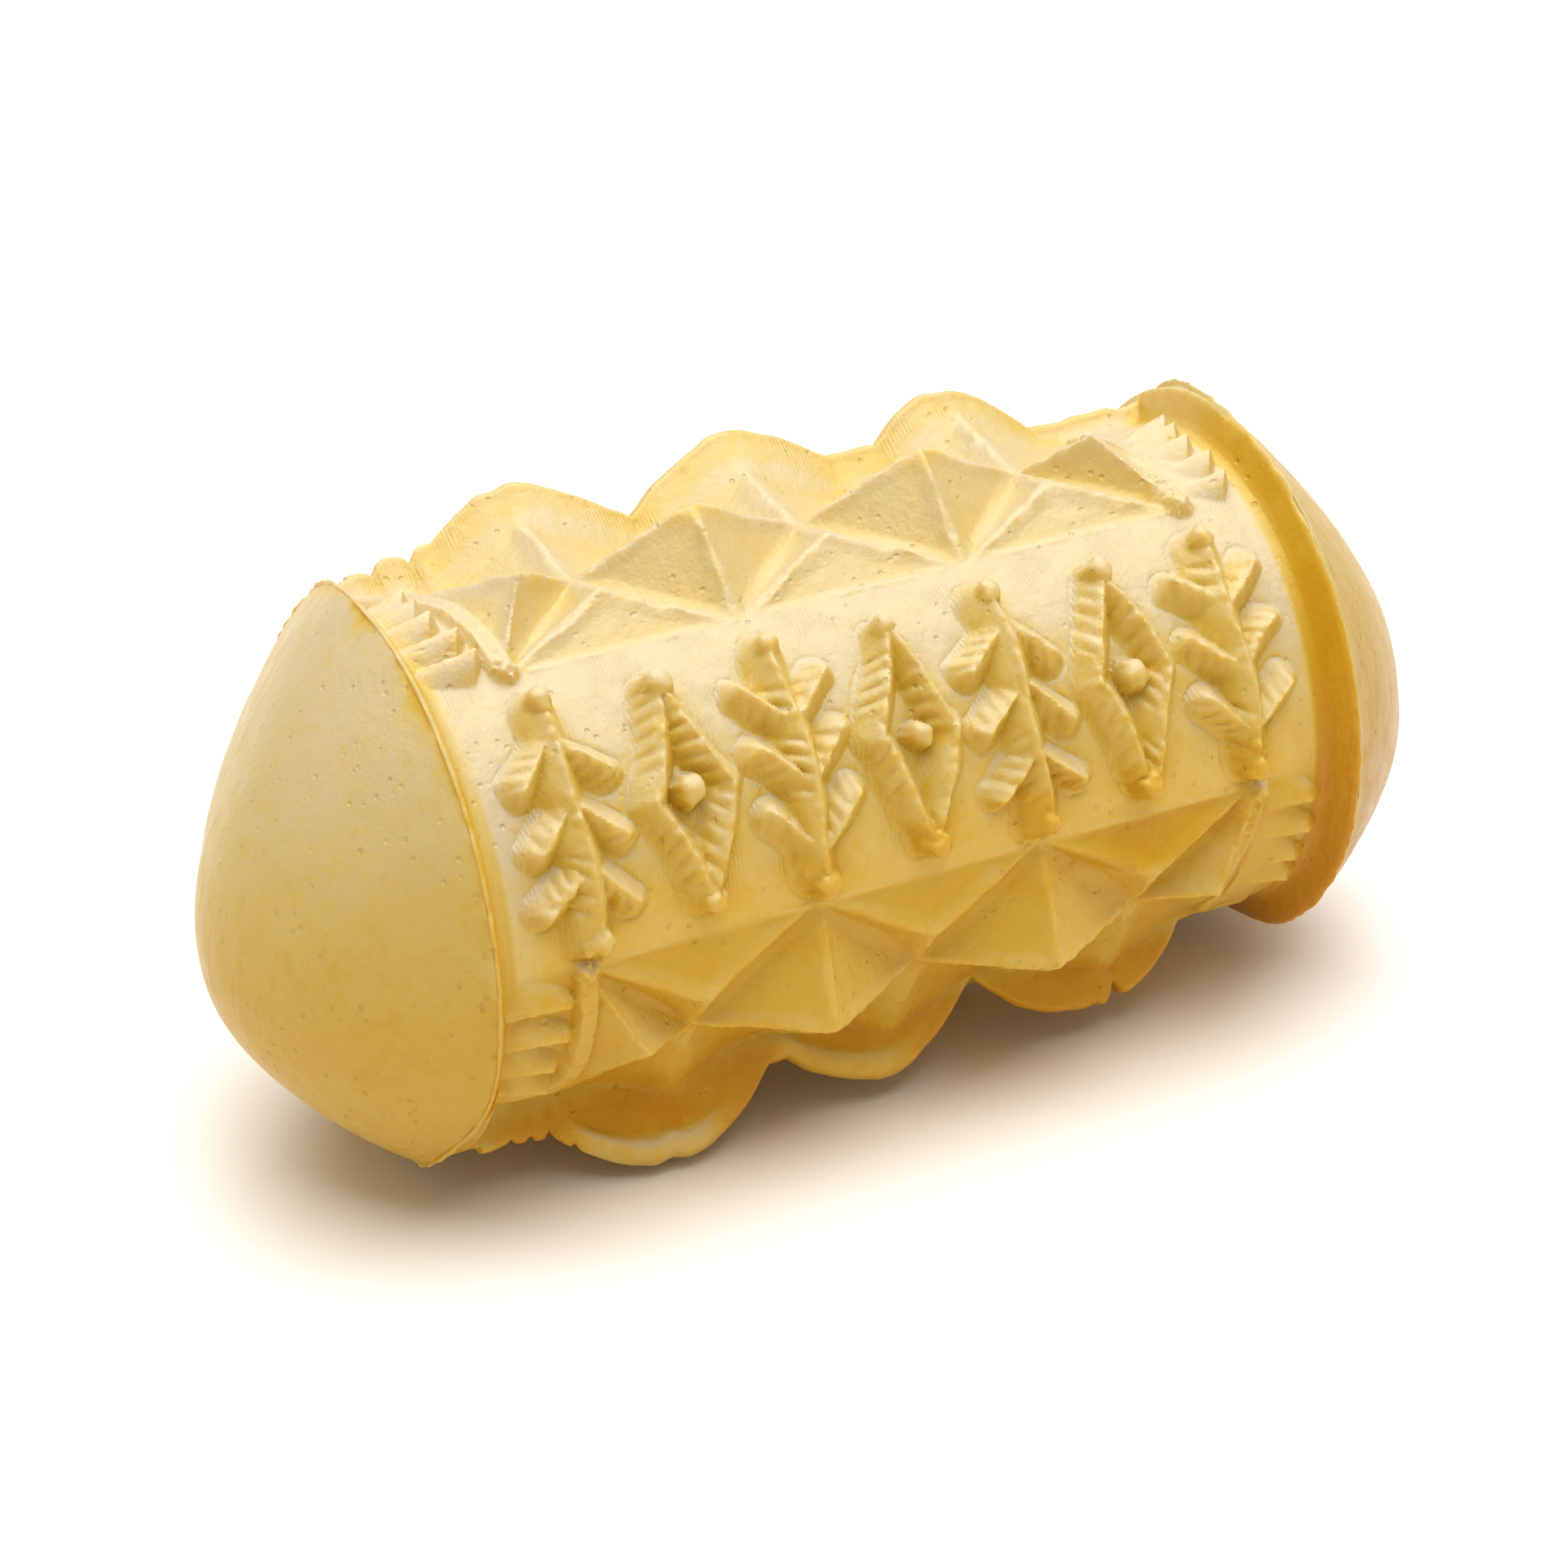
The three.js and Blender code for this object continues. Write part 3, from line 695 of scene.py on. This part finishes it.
def flange_points(end, psi, phi):
    """Rows of the flange, from the wall's foot to the lip, which is slightly torn."""
    wall_x, wall_r = wall_rows()
    wall_x, wall_r = wall_x[1:, None], wall_r[1:, None]
    x = end * wall_x + drawn_share(wall_x) * corner_stretch(DOMES[end], psi)
    r = wall_r + KEEL * drawn_share(wall_x) * keel(psi)
    under, _ = barrel(x, np.broadcast_to(psi, x.shape))
    r = soft_max(r, np.where(wall_x < 66.0, np.minimum(under, 40.2), 0), 0.3)
    bare = ring(x, np.full(x.shape, GROUND), phi)
    torn = soft_noise(bare, 1.7, SEED + 5) + 0.6 * soft_noise(bare, 5.0, SEED + 6)
    at_lip = smooth_step(65.6, 66.8, wall_x)
    return ring(x + end * 0.18 * torn * at_lip, r + 0.28 * torn * at_lip, phi)


def dome_points(end, psi, phi):
    """Rows of a dome, rise = 1 - share^power, leaning over as its circles shrink, and its tip."""
    dome = DOMES[end]
    share = np.cos(np.linspace(0, np.pi / 2, DOME_ROWS)[1:-1])[:, None]
    share = np.concatenate([[[0.9985], [0.995]], share[share[:, 0] < 0.99]])
    rise = 1 - share ** DOME_POWER
    fade = share ** 3
    lean_turn = math.radians(dome["lean_angle"] + FRONT_TURN)
    lean = dome["lean"] * np.array([0, -math.cos(lean_turn), math.sin(lean_turn)])
    x = end * (LIP_PLANE + dome["height"] * rise) + fade * corner_stretch(dome, psi)
    bulge = ring(x, dome["base"] * share + fade * (KEEL * keel(psi)), phi) + rise[..., None] * lean
    outward = bulge / np.linalg.norm(bulge, axis=-1, keepdims=True)
    uneven = 0.30 * soft_noise(bulge, 11.0, SEED + 8) + 0.10 * soft_noise(bulge, 4.0, SEED + 9)
    bulge = bulge + (uneven * smooth_step(1.0, 0.93, share))[..., None] * outward
    return bulge, np.array([end * (LIP_PLANE + dome["height"]), 0, 0]) + lean


def skin_points():
    """Rows of points from the left tip to the right tip, in the axis frame, in mm."""
    psi = columns()
    phi = np.radians(psi + FRONT_TURN)
    x = barrel_rows()[:, None]
    share = drawn_share(np.abs(x))
    x = x + share * np.where(x < 0, corner_stretch(DOMES[-1], psi), corner_stretch(DOMES[1], psi))
    radius, shift = barrel(x, np.broadcast_to(psi, x.shape))
    radius = radius + KEEL * share * keel(psi)
    middle = ring(x, radius, phi + np.radians(shift))
    left, left_tip = dome_points(-1, psi, phi)
    right, right_tip = dome_points(1, psi, phi)
    left = np.concatenate([flange_points(-1, psi, phi), left])[::-1]
    rows = np.concatenate([left, middle, flange_points(1, psi, phi), right])
    rows[..., 2] = np.maximum(rows[..., 2], -AXIS_HEIGHT)
    return rows, left_tip, right_tip


# %% Mesh of the skin
def grid_faces(count, across):
    """Quads between neighbouring rows, closed round the axis, and a fan to each tip, all facing out."""
    i = np.arange(count - 1)[:, None]
    j = np.arange(across)[None, :]
    after = (j + 1) % across
    row, next_row = i * across, (i + 1) * across
    quads = np.stack([row + j, next_row + j, next_row + after, row + after], axis=-1)
    here = np.arange(across)
    beside = (here + 1) % across
    left_tip, right_tip = np.full(across, count * across), np.full(across, count * across + 1)
    base = (count - 1) * across
    left = np.stack([left_tip, here, beside], axis=-1)
    right = np.stack([right_tip, base + beside, base + here], axis=-1)
    return quads.reshape(-1, 4), np.concatenate([left, right])


def mesh_from(points, quads, triangles, name):
    """A Blender mesh from whole arrays of points and faces."""
    mesh = bpy.data.meshes.new(name)
    mesh.vertices.add(len(points))
    mesh.vertices.foreach_set("co", np.ascontiguousarray(points, dtype=np.float32).ravel())
    corners = np.concatenate([quads.ravel(), triangles.ravel()]).astype(np.int32)
    mesh.loops.add(len(corners))
    mesh.loops.foreach_set("vertex_index", corners)
    starts = np.concatenate([np.arange(len(quads)) * 4, len(quads) * 4 + np.arange(len(triangles)) * 3])
    mesh.polygons.add(len(starts))
    mesh.polygons.foreach_set("loop_start", starts.astype(np.int32))
    mesh.update(calc_edges=True)
    mesh.validate()
    return mesh


rows, left_tip, right_tip = skin_points()
axis = np.array([AXIS_X, 0, AXIS_HEIGHT])
points = (np.concatenate([rows.reshape(-1, 3), [left_tip, right_tip]]) + axis) * MM
quads, fans = grid_faces(len(rows), rows.shape[1])
fine_mesh = mesh_from(points, quads, fans, "smoked_cheese")
print("fine grid:", rows.shape[:2], "points,", 2 * len(quads) + len(fans), "triangles")

# %% [markdown]
# ## Fewer triangles
# The fine grid has over a million triangles, most of them on calm curves. Blender's Decimate merges
# edges where the surface is flat, and keeps them at ridges and ripples, just what a carved skin needs.

# %% Thin the grid out
TRIANGLES = 196000
CREASE = math.radians(38)
skin = bpy.data.objects.new("smoked_cheese", fine_mesh)
bpy.context.collection.objects.link(skin)
thin = skin.modifiers.new("thin", "DECIMATE")
thin.ratio = TRIANGLES / (2 * len(quads) + len(fans))
thin.use_collapse_triangulate = True
bpy.context.view_layer.update()
thinned = bpy.data.meshes.new_from_object(skin.evaluated_get(bpy.context.evaluated_depsgraph_get()))
skin.modifiers.clear()
skin.data = thinned
thinned.name = "smoked_cheese"
bpy.data.meshes.remove(fine_mesh)
thinned.polygons.foreach_set("use_smooth", np.ones(len(thinned.polygons), dtype=bool))
thinned.set_sharp_from_angle(angle=CREASE)
print("thinned skin:", len(thinned.polygons), "triangles")
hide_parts("cheese")
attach(skin, "root")

# %% [markdown]
# ## Where the finish changes
# Smoke and drying colour a cheese unevenly, ochre on the flanges. The colour here also carries painted
# shade and painted light: cream where the skin is smooth, high and faces up, gold in hollows and under
# the barrel. Blender's shader can't see such places by itself, so numpy measures them once and stores
# them at the points: how golden (own tone with painted shade), how sharp, how dark or light (painted
# shading), and which parts are plain ground, dome or rough gable.

# %% Measure the skin
def neighbour_mean(values, edges, times):
    """Each point's value becomes the mean of its neighbours, again and again."""
    count = len(values)
    ends = np.concatenate([edges[:, 0], edges[:, 1]])
    others = np.concatenate([edges[:, 1], edges[:, 0]])
    share = np.maximum(np.bincount(ends, minlength=count), 1)
    for _ in range(times):
        values = np.stack([
            np.bincount(ends, weights=values[others, k], minlength=count) / share
            for k in range(values.shape[1])
        ], axis=-1)
    return values


def read(collection, name, width, kind=np.float32):
    """A whole attribute of a mesh as an array."""
    out = np.empty(len(collection) * width, dtype=kind)
    collection.foreach_get(name, out)
    return out.reshape(-1, width)


mesh = skin.data
places = read(mesh.vertices, "co", 3).astype(float) / MM - axis
normals = read(mesh.vertices, "normal", 3).astype(float)
edges = read(mesh.edges, "vertices", 2, np.int32)
wide = neighbour_mean(places, edges, 14)
close = neighbour_mean(places, edges, 2)
hollow = np.clip(np.sum((wide - places) * normals, axis=1) / 1.2, -1, 1)
sharp = np.clip(-np.sum((close - places) * normals, axis=1) / 0.16, 0, 1)
hollow = neighbour_mean(hollow[:, None], edges, 2)[:, 0]
sharp = neighbour_mean(sharp[:, None], edges, 2)[:, 0]

# %% Which part each point belongs to
x, y, z = places.T
far = np.abs(x)
psi = (np.degrees(np.arctan2(z, -y)) - FRONT_TURN + 180) % 360 - 180
radius = np.hypot(y, z)
local = np.where(np.abs(psi) <= 90, psi, (psi + 360) % 360 - 180)
quarter = np.abs(local)
at_top = psi > 0
at_right = x > 0
on_barrel = far < 62
past_band = quarter - BAND_ANGLE
cut = np.where(np.abs(psi) <= 90, carving(x, local, 0), carving(x, local, 1))
carved = smooth_step(0.2, 0.8, cut) * on_barrel
ground = smooth_step(0.5, 0.1, cut) * smooth_step(0.5, -0.5, past_band) * on_barrel
plain = smooth_step(36.6, 36.0, radius) * on_barrel * smooth_step(50, 55, far)
dome = smooth_step(65.5, 68.5, far)
wall = np.where(at_right, smooth_step(61.5, 63.5, far), smooth_step(64.4, 65.6, far))
wall = wall * smooth_step(67.0, 66.2, far)
by_rim = smooth_step(57, 62, far) * on_barrel * ~at_right
rough = smooth_step(2, 4, past_band) * smooth_step(16, 12, past_band) * on_barrel
tips = smooth_step(41.0, 45.0, radius) * smooth_step(16, 10, np.abs(quarter - PEAK[0])) * at_top
low_fronts = smooth_step(0, 1.5, past_band) * smooth_step(47, 44, quarter) * ~at_top * on_barrel

# %% Which part of the fins
off_seam = (SEAM_ANGLE - quarter) * math.radians(40)
fin = smooth_step(3.6, 2.4, off_seam) * smooth_step(37.0, 38.5, radius) * on_barrel
depth = np.where(at_top, fin_outline(x, FINS["top"]), fin_outline(x, FINS["bottom"])) - radius
low_fin = fin * ~at_top
low_edge = smooth_step(4.6, 3.4, depth)
beaded = bead_share(x, FINS["bottom"])
high_edge = fin * at_top * smooth_step(5.2, 4.2, depth)

# %% How golden and how dark: own tone with painted shade and painted light
# The gold value mixes the skin's own tone with painted shade and painted light: deeper gold on faces turned
# down, low on the barrel and in hollows, paler on faces turned up.
facing_up = normals[:, 2]
up = smooth_step(0.1, 0.95, facing_up)
down = smooth_step(0.15, -0.75, facing_up)
low = smooth_step(14, -18, z)
# Gold from how deep a point lies in a hollow is painted shade in recesses.
dip = np.clip(hollow, 0, 1) * (1 - smooth_step(57, 60, far) * on_barrel)
gold_and_painted_shade = 0.34 - 0.30 * up + 0.13 * down + 0.21 * low + 0.45 * dip - 0.12 * np.clip(-hollow, 0, 1)
gold_and_painted_shade = gold_and_painted_shade + 0.08 * carved - 0.12 * by_rim
# Plain ground facing up is made paler: painted light.
gold_and_painted_shade = gold_and_painted_shade - 0.18 * np.maximum(ground, plain) * smooth_step(0.1, 0.9, facing_up)
# On the domes, more gold away from up and over the whole right dome is painted shade; the left dome is less
# gold low down.
gold_and_painted_shade = gold_and_painted_shade + dome * (0.05 * (1 - up) + 0.28 * at_right - 0.12 * ~at_right * smooth_step(-8, -22, z))
gold_and_painted_shade = gold_and_painted_shade + low_fin * (0.34 * (1 - low_edge) - 0.16 * low_edge * beaded + 0.34 * low_edge * (1 - beaded))
# The flanges' ochre is their own tone; the extra gold where they don't face up is painted shade.
gold_and_painted_shade = gold_and_painted_shade + (0.26 + 0.22 * (1 - up)) * wall * (1 - 0.6 * smooth_step(45, 70, psi))
gold_and_painted_shade = gold_and_painted_shade + 0.20 * tips + 0.26 * carved * smooth_step(-18, -23, psi) * smooth_step(-50, 0, x)
# The lower gable fronts face down, and their deeper gold is painted shade.
gold_and_painted_shade = gold_and_painted_shade + low_fronts * (0.24 * np.exp(-(((x - PITCH) / 13) ** 2)) + 0.10)
gold_and_painted_shade = np.clip(gold_and_painted_shade + 0.16 * high_edge, 0, 1)
# This multiplier is painted light and shade: darker on the domes, most on the right one, and on faces turned
# up off the domes, lighter on ground not facing up and on the lower fin.
painted_shading = 1 - 0.10 * dome - 0.14 * dome * at_right - 0.07 * up * (1 - dome)
painted_shading = painted_shading + 0.08 * ground * (1 - up) + 0.08 * low_fin
striated = np.maximum(ground, high_edge)


def store(name, values):
    """Keeps one number for each point under a name that the material reads."""
    layer = mesh.attributes.new(name, "FLOAT", "POINT")
    layer.data.foreach_set("value", values.astype(np.float32))


measured = {"gold_and_painted_shade": gold_and_painted_shade, "sharp": sharp, "striated": striated, "dome": dome, "rough": rough, "painted_shading": painted_shading}
for name, values in measured.items():
    store(name, values)
    print(name, "from", round(float(values.min()), 2), "to", round(float(values.max()), 2))

# %% [markdown]
# ## The finish
# Smoked cheese skin is waxy: light sinks a little way in and comes out warmer, and a thin salt-dried
# film gives a soft gloss. The shader's subsurface weight does the first and its roughness the second.
# The colour runs along a ramp of five cheese tones, from pale cream to deep gold, whose darker end also
# serves as the shaded copy of the skin; it is driven by the stored gold value, which holds painted shade,
# and some noise, and is then scaled by the stored painted shading.

# %% Helpers for the node tree
skin_material = bpy.data.materials.new("smoked_skin_finish")
skin_material.use_nodes = True
tree = skin_material.node_tree
shader = tree.nodes["Principled BSDF"]


def add(kind, settings=None, **inputs):
    """A node of the given kind, with its settings, and its inputs as values or as links."""
    made = tree.nodes.new(kind)
    for key, value in (settings or {}).items():
        setattr(made, key, value)
    for key, value in inputs.items():
        socket = made.inputs[int(key[1:])] if key[0] == "i" and key[1:].isdigit() else made.inputs[key]
        if isinstance(value, bpy.types.NodeSocket):
            tree.links.new(value, socket)
        else:
            socket.default_value = value
    return made


def calc(operation, first, second=0.0, third=0.0):
    """One sum on numbers: the Math node's result."""
    made = add("ShaderNodeMath", {"operation": operation}, i0=first, i1=second)
    if operation in ("MULTIPLY_ADD", "SMOOTH_MAX", "SMOOTH_MIN"):
        made.inputs[2].default_value = third
    return made.outputs[0]


def ramp(value, low, high):
    """0 to 1 with an S curve while the value goes from low to high."""
    made = add("ShaderNodeMapRange", {"interpolation_type": "SMOOTHSTEP"}, Value=value)
    made.inputs["From Min"].default_value = low
    made.inputs["From Max"].default_value = high
    return made.outputs["Result"]


def stored(name):
    """A value that was stored at the points."""
    return add("ShaderNodeAttribute", {"attribute_name": name}).outputs["Fac"]


# %% Coordinates and noises in millimetres
where = add("ShaderNodeTexCoord").outputs["Object"]
millimetres = add("ShaderNodeMapping", None, Vector=where)
millimetres.inputs["Scale"].default_value = (1000, 1000, 1000)
place_mm = millimetres.outputs["Vector"]


def noise(size, detail=3.0, stretch=(1, 1, 1)):
    """Noise with blobs of about size mm, drawn out along an axis where stretch is over 1."""
    lay = add("ShaderNodeMapping", None, Vector=place_mm)
    lay.inputs["Scale"].default_value = [1 / s for s in stretch]
    made = add("ShaderNodeTexNoise", None, Vector=lay.outputs["Vector"])
    made.inputs["Scale"].default_value = 1 / size
    made.inputs["Detail"].default_value = detail
    return made.outputs["Fac"]


def pits(size, low, high, stretch=(1, 1, 1)):
    """Holes: 1 where a point is within low of a cell's middle, 0 past high, drawn out as stretch says."""
    lay = add("ShaderNodeMapping", None, Vector=place_mm)
    lay.inputs["Scale"].default_value = [1 / s for s in stretch]
    made = add("ShaderNodeTexVoronoi", None, Vector=lay.outputs["Vector"])
    made.inputs["Scale"].default_value = 1 / size
    made.inputs["Randomness"].default_value = 1.0
    return ramp(made.outputs["Distance"], high, low)


# %% Colour
# Cream to deep gold: the darker, richer tones stand for the gold skin and also for painted shade.
TONES = (
    (0.00, (0.552, 0.474, 0.310)),
    (0.30, (0.575, 0.430, 0.130)),
    (0.50, (0.560, 0.365, 0.048)),
    (0.70, (0.540, 0.310, 0.015)),
    (1.00, (0.490, 0.215, 0.001)),
)
BLOTCH = 0.13
SPECKLE = 0.10
STAIN = 0.22
blotches = noise(9.0, 2.0)
speckle = noise(1.1, 3.0)
tone = calc("ADD", stored("gold_and_painted_shade"), calc("MULTIPLY_ADD", blotches, BLOTCH, -BLOTCH / 2))
tone = calc("ADD", tone, calc("MULTIPLY_ADD", speckle, SPECKLE, -SPECKLE / 2))
stains = calc("MULTIPLY", stored("sharp"), ramp(noise(2.4, 3.0), 0.5, 0.66))
tone = calc("ADD", tone, calc("MULTIPLY", stains, STAIN))
colours = add("ShaderNodeValToRGB", None, Fac=tone)
colours.color_ramp.interpolation = "LINEAR"
while len(colours.color_ramp.elements) < len(TONES):
    colours.color_ramp.elements.new(0.5)
for element, (position, colour) in zip(colours.color_ramp.elements, TONES):
    element.position = position
    element.color = (*colour, 1)
# The colour is scaled by the stored painted shading: painted light and shade, set part by part.
dimmed = add("ShaderNodeVectorMath", {"operation": "SCALE"}, i0=colours.outputs["Color"])
tree.links.new(stored("painted_shading"), dimmed.inputs["Scale"])
tree.links.new(dimmed.outputs["Vector"], shader.inputs["Base Color"])

# %% [markdown]
# ## Pores, cracks and striations
# The knife left hairlines across the band and the fin's edge, gas left pores, and drying opened short
# cracks on the rough gable fronts. All are under half a millimetre, too fine for the mesh, so they are
# bumps: each is a depth in millimetres, and they are added up.

# %% Relief too fine for the mesh
STRIATION = 0.57
LINE_DEPTH = 0.035
PORE_DEPTH = 0.22
CRACK_DEPTH = 0.20
GRAIN_HEIGHT = 0.09
STREAK_HEIGHT = 0.16
WRINKLE_HEIGHT = 0.22
along = add("ShaderNodeSeparateXYZ", None, Vector=place_mm).outputs["X"]
lines = calc("SINE", calc("MULTIPLY", along, 2 * math.pi / STRIATION))
patchy = ramp(noise(7.0, 2.0), 0.42, 0.6)
lines = calc("MULTIPLY", lines, calc("MULTIPLY", patchy, stored("striated")))
holes = calc("MULTIPLY", pits(2.4, 0.06, 0.2), ramp(noise(8.0, 1.0), 0.45, 0.6))
dome_holes = calc("MULTIPLY", pits(2.6, 0.05, 0.13, (1.0, 1.0, 2.4)), stored("dome"))
cracks = calc("MULTIPLY", pits(1.5, 0.05, 0.32, (1.7, 1.0, 1.0)), stored("rough"))
cracks = calc("MULTIPLY", cracks, ramp(noise(5.0, 2.0), 0.42, 0.62))
relief = calc("MULTIPLY", lines, LINE_DEPTH)
for part, height in (
    (holes, -PORE_DEPTH),
    (dome_holes, -PORE_DEPTH),
    (cracks, -CRACK_DEPTH),
    (noise(0.55, 4.0), GRAIN_HEIGHT),
    (noise(1.6, 3.0, (1, 1, 5)), STREAK_HEIGHT),
    (noise(2.2, 2.0, (1, 1, 2)), WRINKLE_HEIGHT),
):
    relief = calc("ADD", relief, calc("MULTIPLY", part, height))
bump = add("ShaderNodeBump", None, Height=relief)
bump.inputs["Distance"].default_value = 1.0 * MM
bump.inputs["Strength"].default_value = 0.9
tree.links.new(bump.outputs["Normal"], shader.inputs["Normal"])

# %% Gloss and wax
GLOSS = {"lowest": 0.24, "spread": 0.26}
gloss = calc("MULTIPLY_ADD", noise(4.0, 3.0), GLOSS["spread"], GLOSS["lowest"])
tree.links.new(gloss, shader.inputs["Roughness"])
WAX = {
    "Specular IOR Level": 0.45,
    "Specular Tint": (1.0, 0.86, 0.5, 1.0),
    "Subsurface Weight": 0.30,
    "Subsurface Radius": (1.0, 0.55, 0.15),
    "Subsurface Scale": 0.0035,
}
for name, value in WAX.items():
    shader.inputs[name].default_value = value
skin.data.materials.clear()
skin.data.materials.append(skin_material)

# %% [markdown]
# ## Floor and light
# The photo has a plain white ground and one broad, soft light overhead, a little to the right, with warm
# light coming back from all round. A large pale sheet and one square lamp over a warm grey world do that.

# %% Floor
FLOOR_SIZE = 6.0
FLOOR_GREY = 0.9


def flat_sheet(name, size):
    """A square sheet on the floor plane, centred under the cheese."""
    corners = np.array([[-1, -1, 0], [1, -1, 0], [1, 1, 0], [-1, 1, 0]]) * size / 2
    mesh = bpy.data.meshes.new(name)
    mesh.from_pydata(corners.tolist(), [], [(0, 1, 2, 3)])
    sheet = bpy.data.objects.new(name, mesh)
    bpy.context.collection.objects.link(sheet)
    return sheet


floor = flat_sheet("floor", FLOOR_SIZE)
floor_material = bpy.data.materials.new("pale_floor")
floor_material.use_nodes = True
floor_shader = floor_material.node_tree.nodes["Principled BSDF"]
floor_shader.inputs["Base Color"].default_value = (FLOOR_GREY, FLOOR_GREY, FLOOR_GREY, 1)
floor_shader.inputs["Roughness"].default_value = 0.6
floor.data.materials.append(floor_material)

# %% Light
WORLD_COLOUR = (1.0, 0.82, 0.60, 1)
WORLD_STRENGTH = 0.48
LAMP_PLACE = (0.10, 0.05, 1.25)
LAMP_TARGET = (0, 0, 0.04)
LAMP_SIZE = 1.7
LAMP_POWER = 35.0
scene = bpy.context.scene
scene.view_settings.view_transform = "Standard"
world = bpy.data.worlds.new("studio")
world.use_nodes = True
world.node_tree.nodes["Background"].inputs["Color"].default_value = WORLD_COLOUR
world.node_tree.nodes["Background"].inputs["Strength"].default_value = WORLD_STRENGTH
scene.world = world


def soft_light(name, place, target, size, power):
    """A square area light at place, turned to its target, all in metres and watts."""
    lamp = bpy.data.lights.new(name, "AREA")
    lamp.shape = "SQUARE"
    lamp.size = size
    lamp.energy = power
    holder = bpy.data.objects.new(name, lamp)
    holder.location = place
    holder.rotation_mode = "QUATERNION"
    holder.rotation_quaternion = (Vector(target) - Vector(place)).to_track_quat("-Z", "Y")
    bpy.context.collection.objects.link(holder)
    return holder


soft_light("top_light", LAMP_PLACE, LAMP_TARGET, LAMP_SIZE, LAMP_POWER)

# %% [markdown]
# ## Camera
# The camera stands where the photo was taken from: its place and turn were found from the rims and the
# corners of the pyramids in the picture. It looks along minus back, with level and upright across its view.

# %% Camera
LENS = 122.18
SENSOR = 36.0
CAMERA_PLACE = (-297.780, -593.502, 411.232)
AZIMUTH, ELEVATION, ROLL = (math.radians(v) for v in (-26.411, 29.222, -1.0495))
camera_data = bpy.data.cameras.new("camera")
camera_data.sensor_width = SENSOR
camera_data.lens = LENS
camera_data.clip_start = 0.05
camera = bpy.data.objects.new("camera", camera_data)
bpy.context.collection.objects.link(camera)
flat = math.cos(ELEVATION)
back = Vector((math.sin(AZIMUTH) * flat, -math.cos(AZIMUTH) * flat, math.sin(ELEVATION)))
level = Vector((0, 0, 1)).cross(back).normalized()
upright = back.cross(level)
rightwards = level * math.cos(ROLL) + upright * math.sin(ROLL)
upwards = back.cross(rightwards)
standing = Vector(CAMERA_PLACE) * MM
camera.matrix_world = Matrix([
    (rightwards.x, upwards.x, back.x, standing.x),
    (rightwards.y, upwards.y, back.y, standing.y),
    (rightwards.z, upwards.z, back.z, standing.z),
    (0, 0, 0, 1),
])
scene.camera = camera
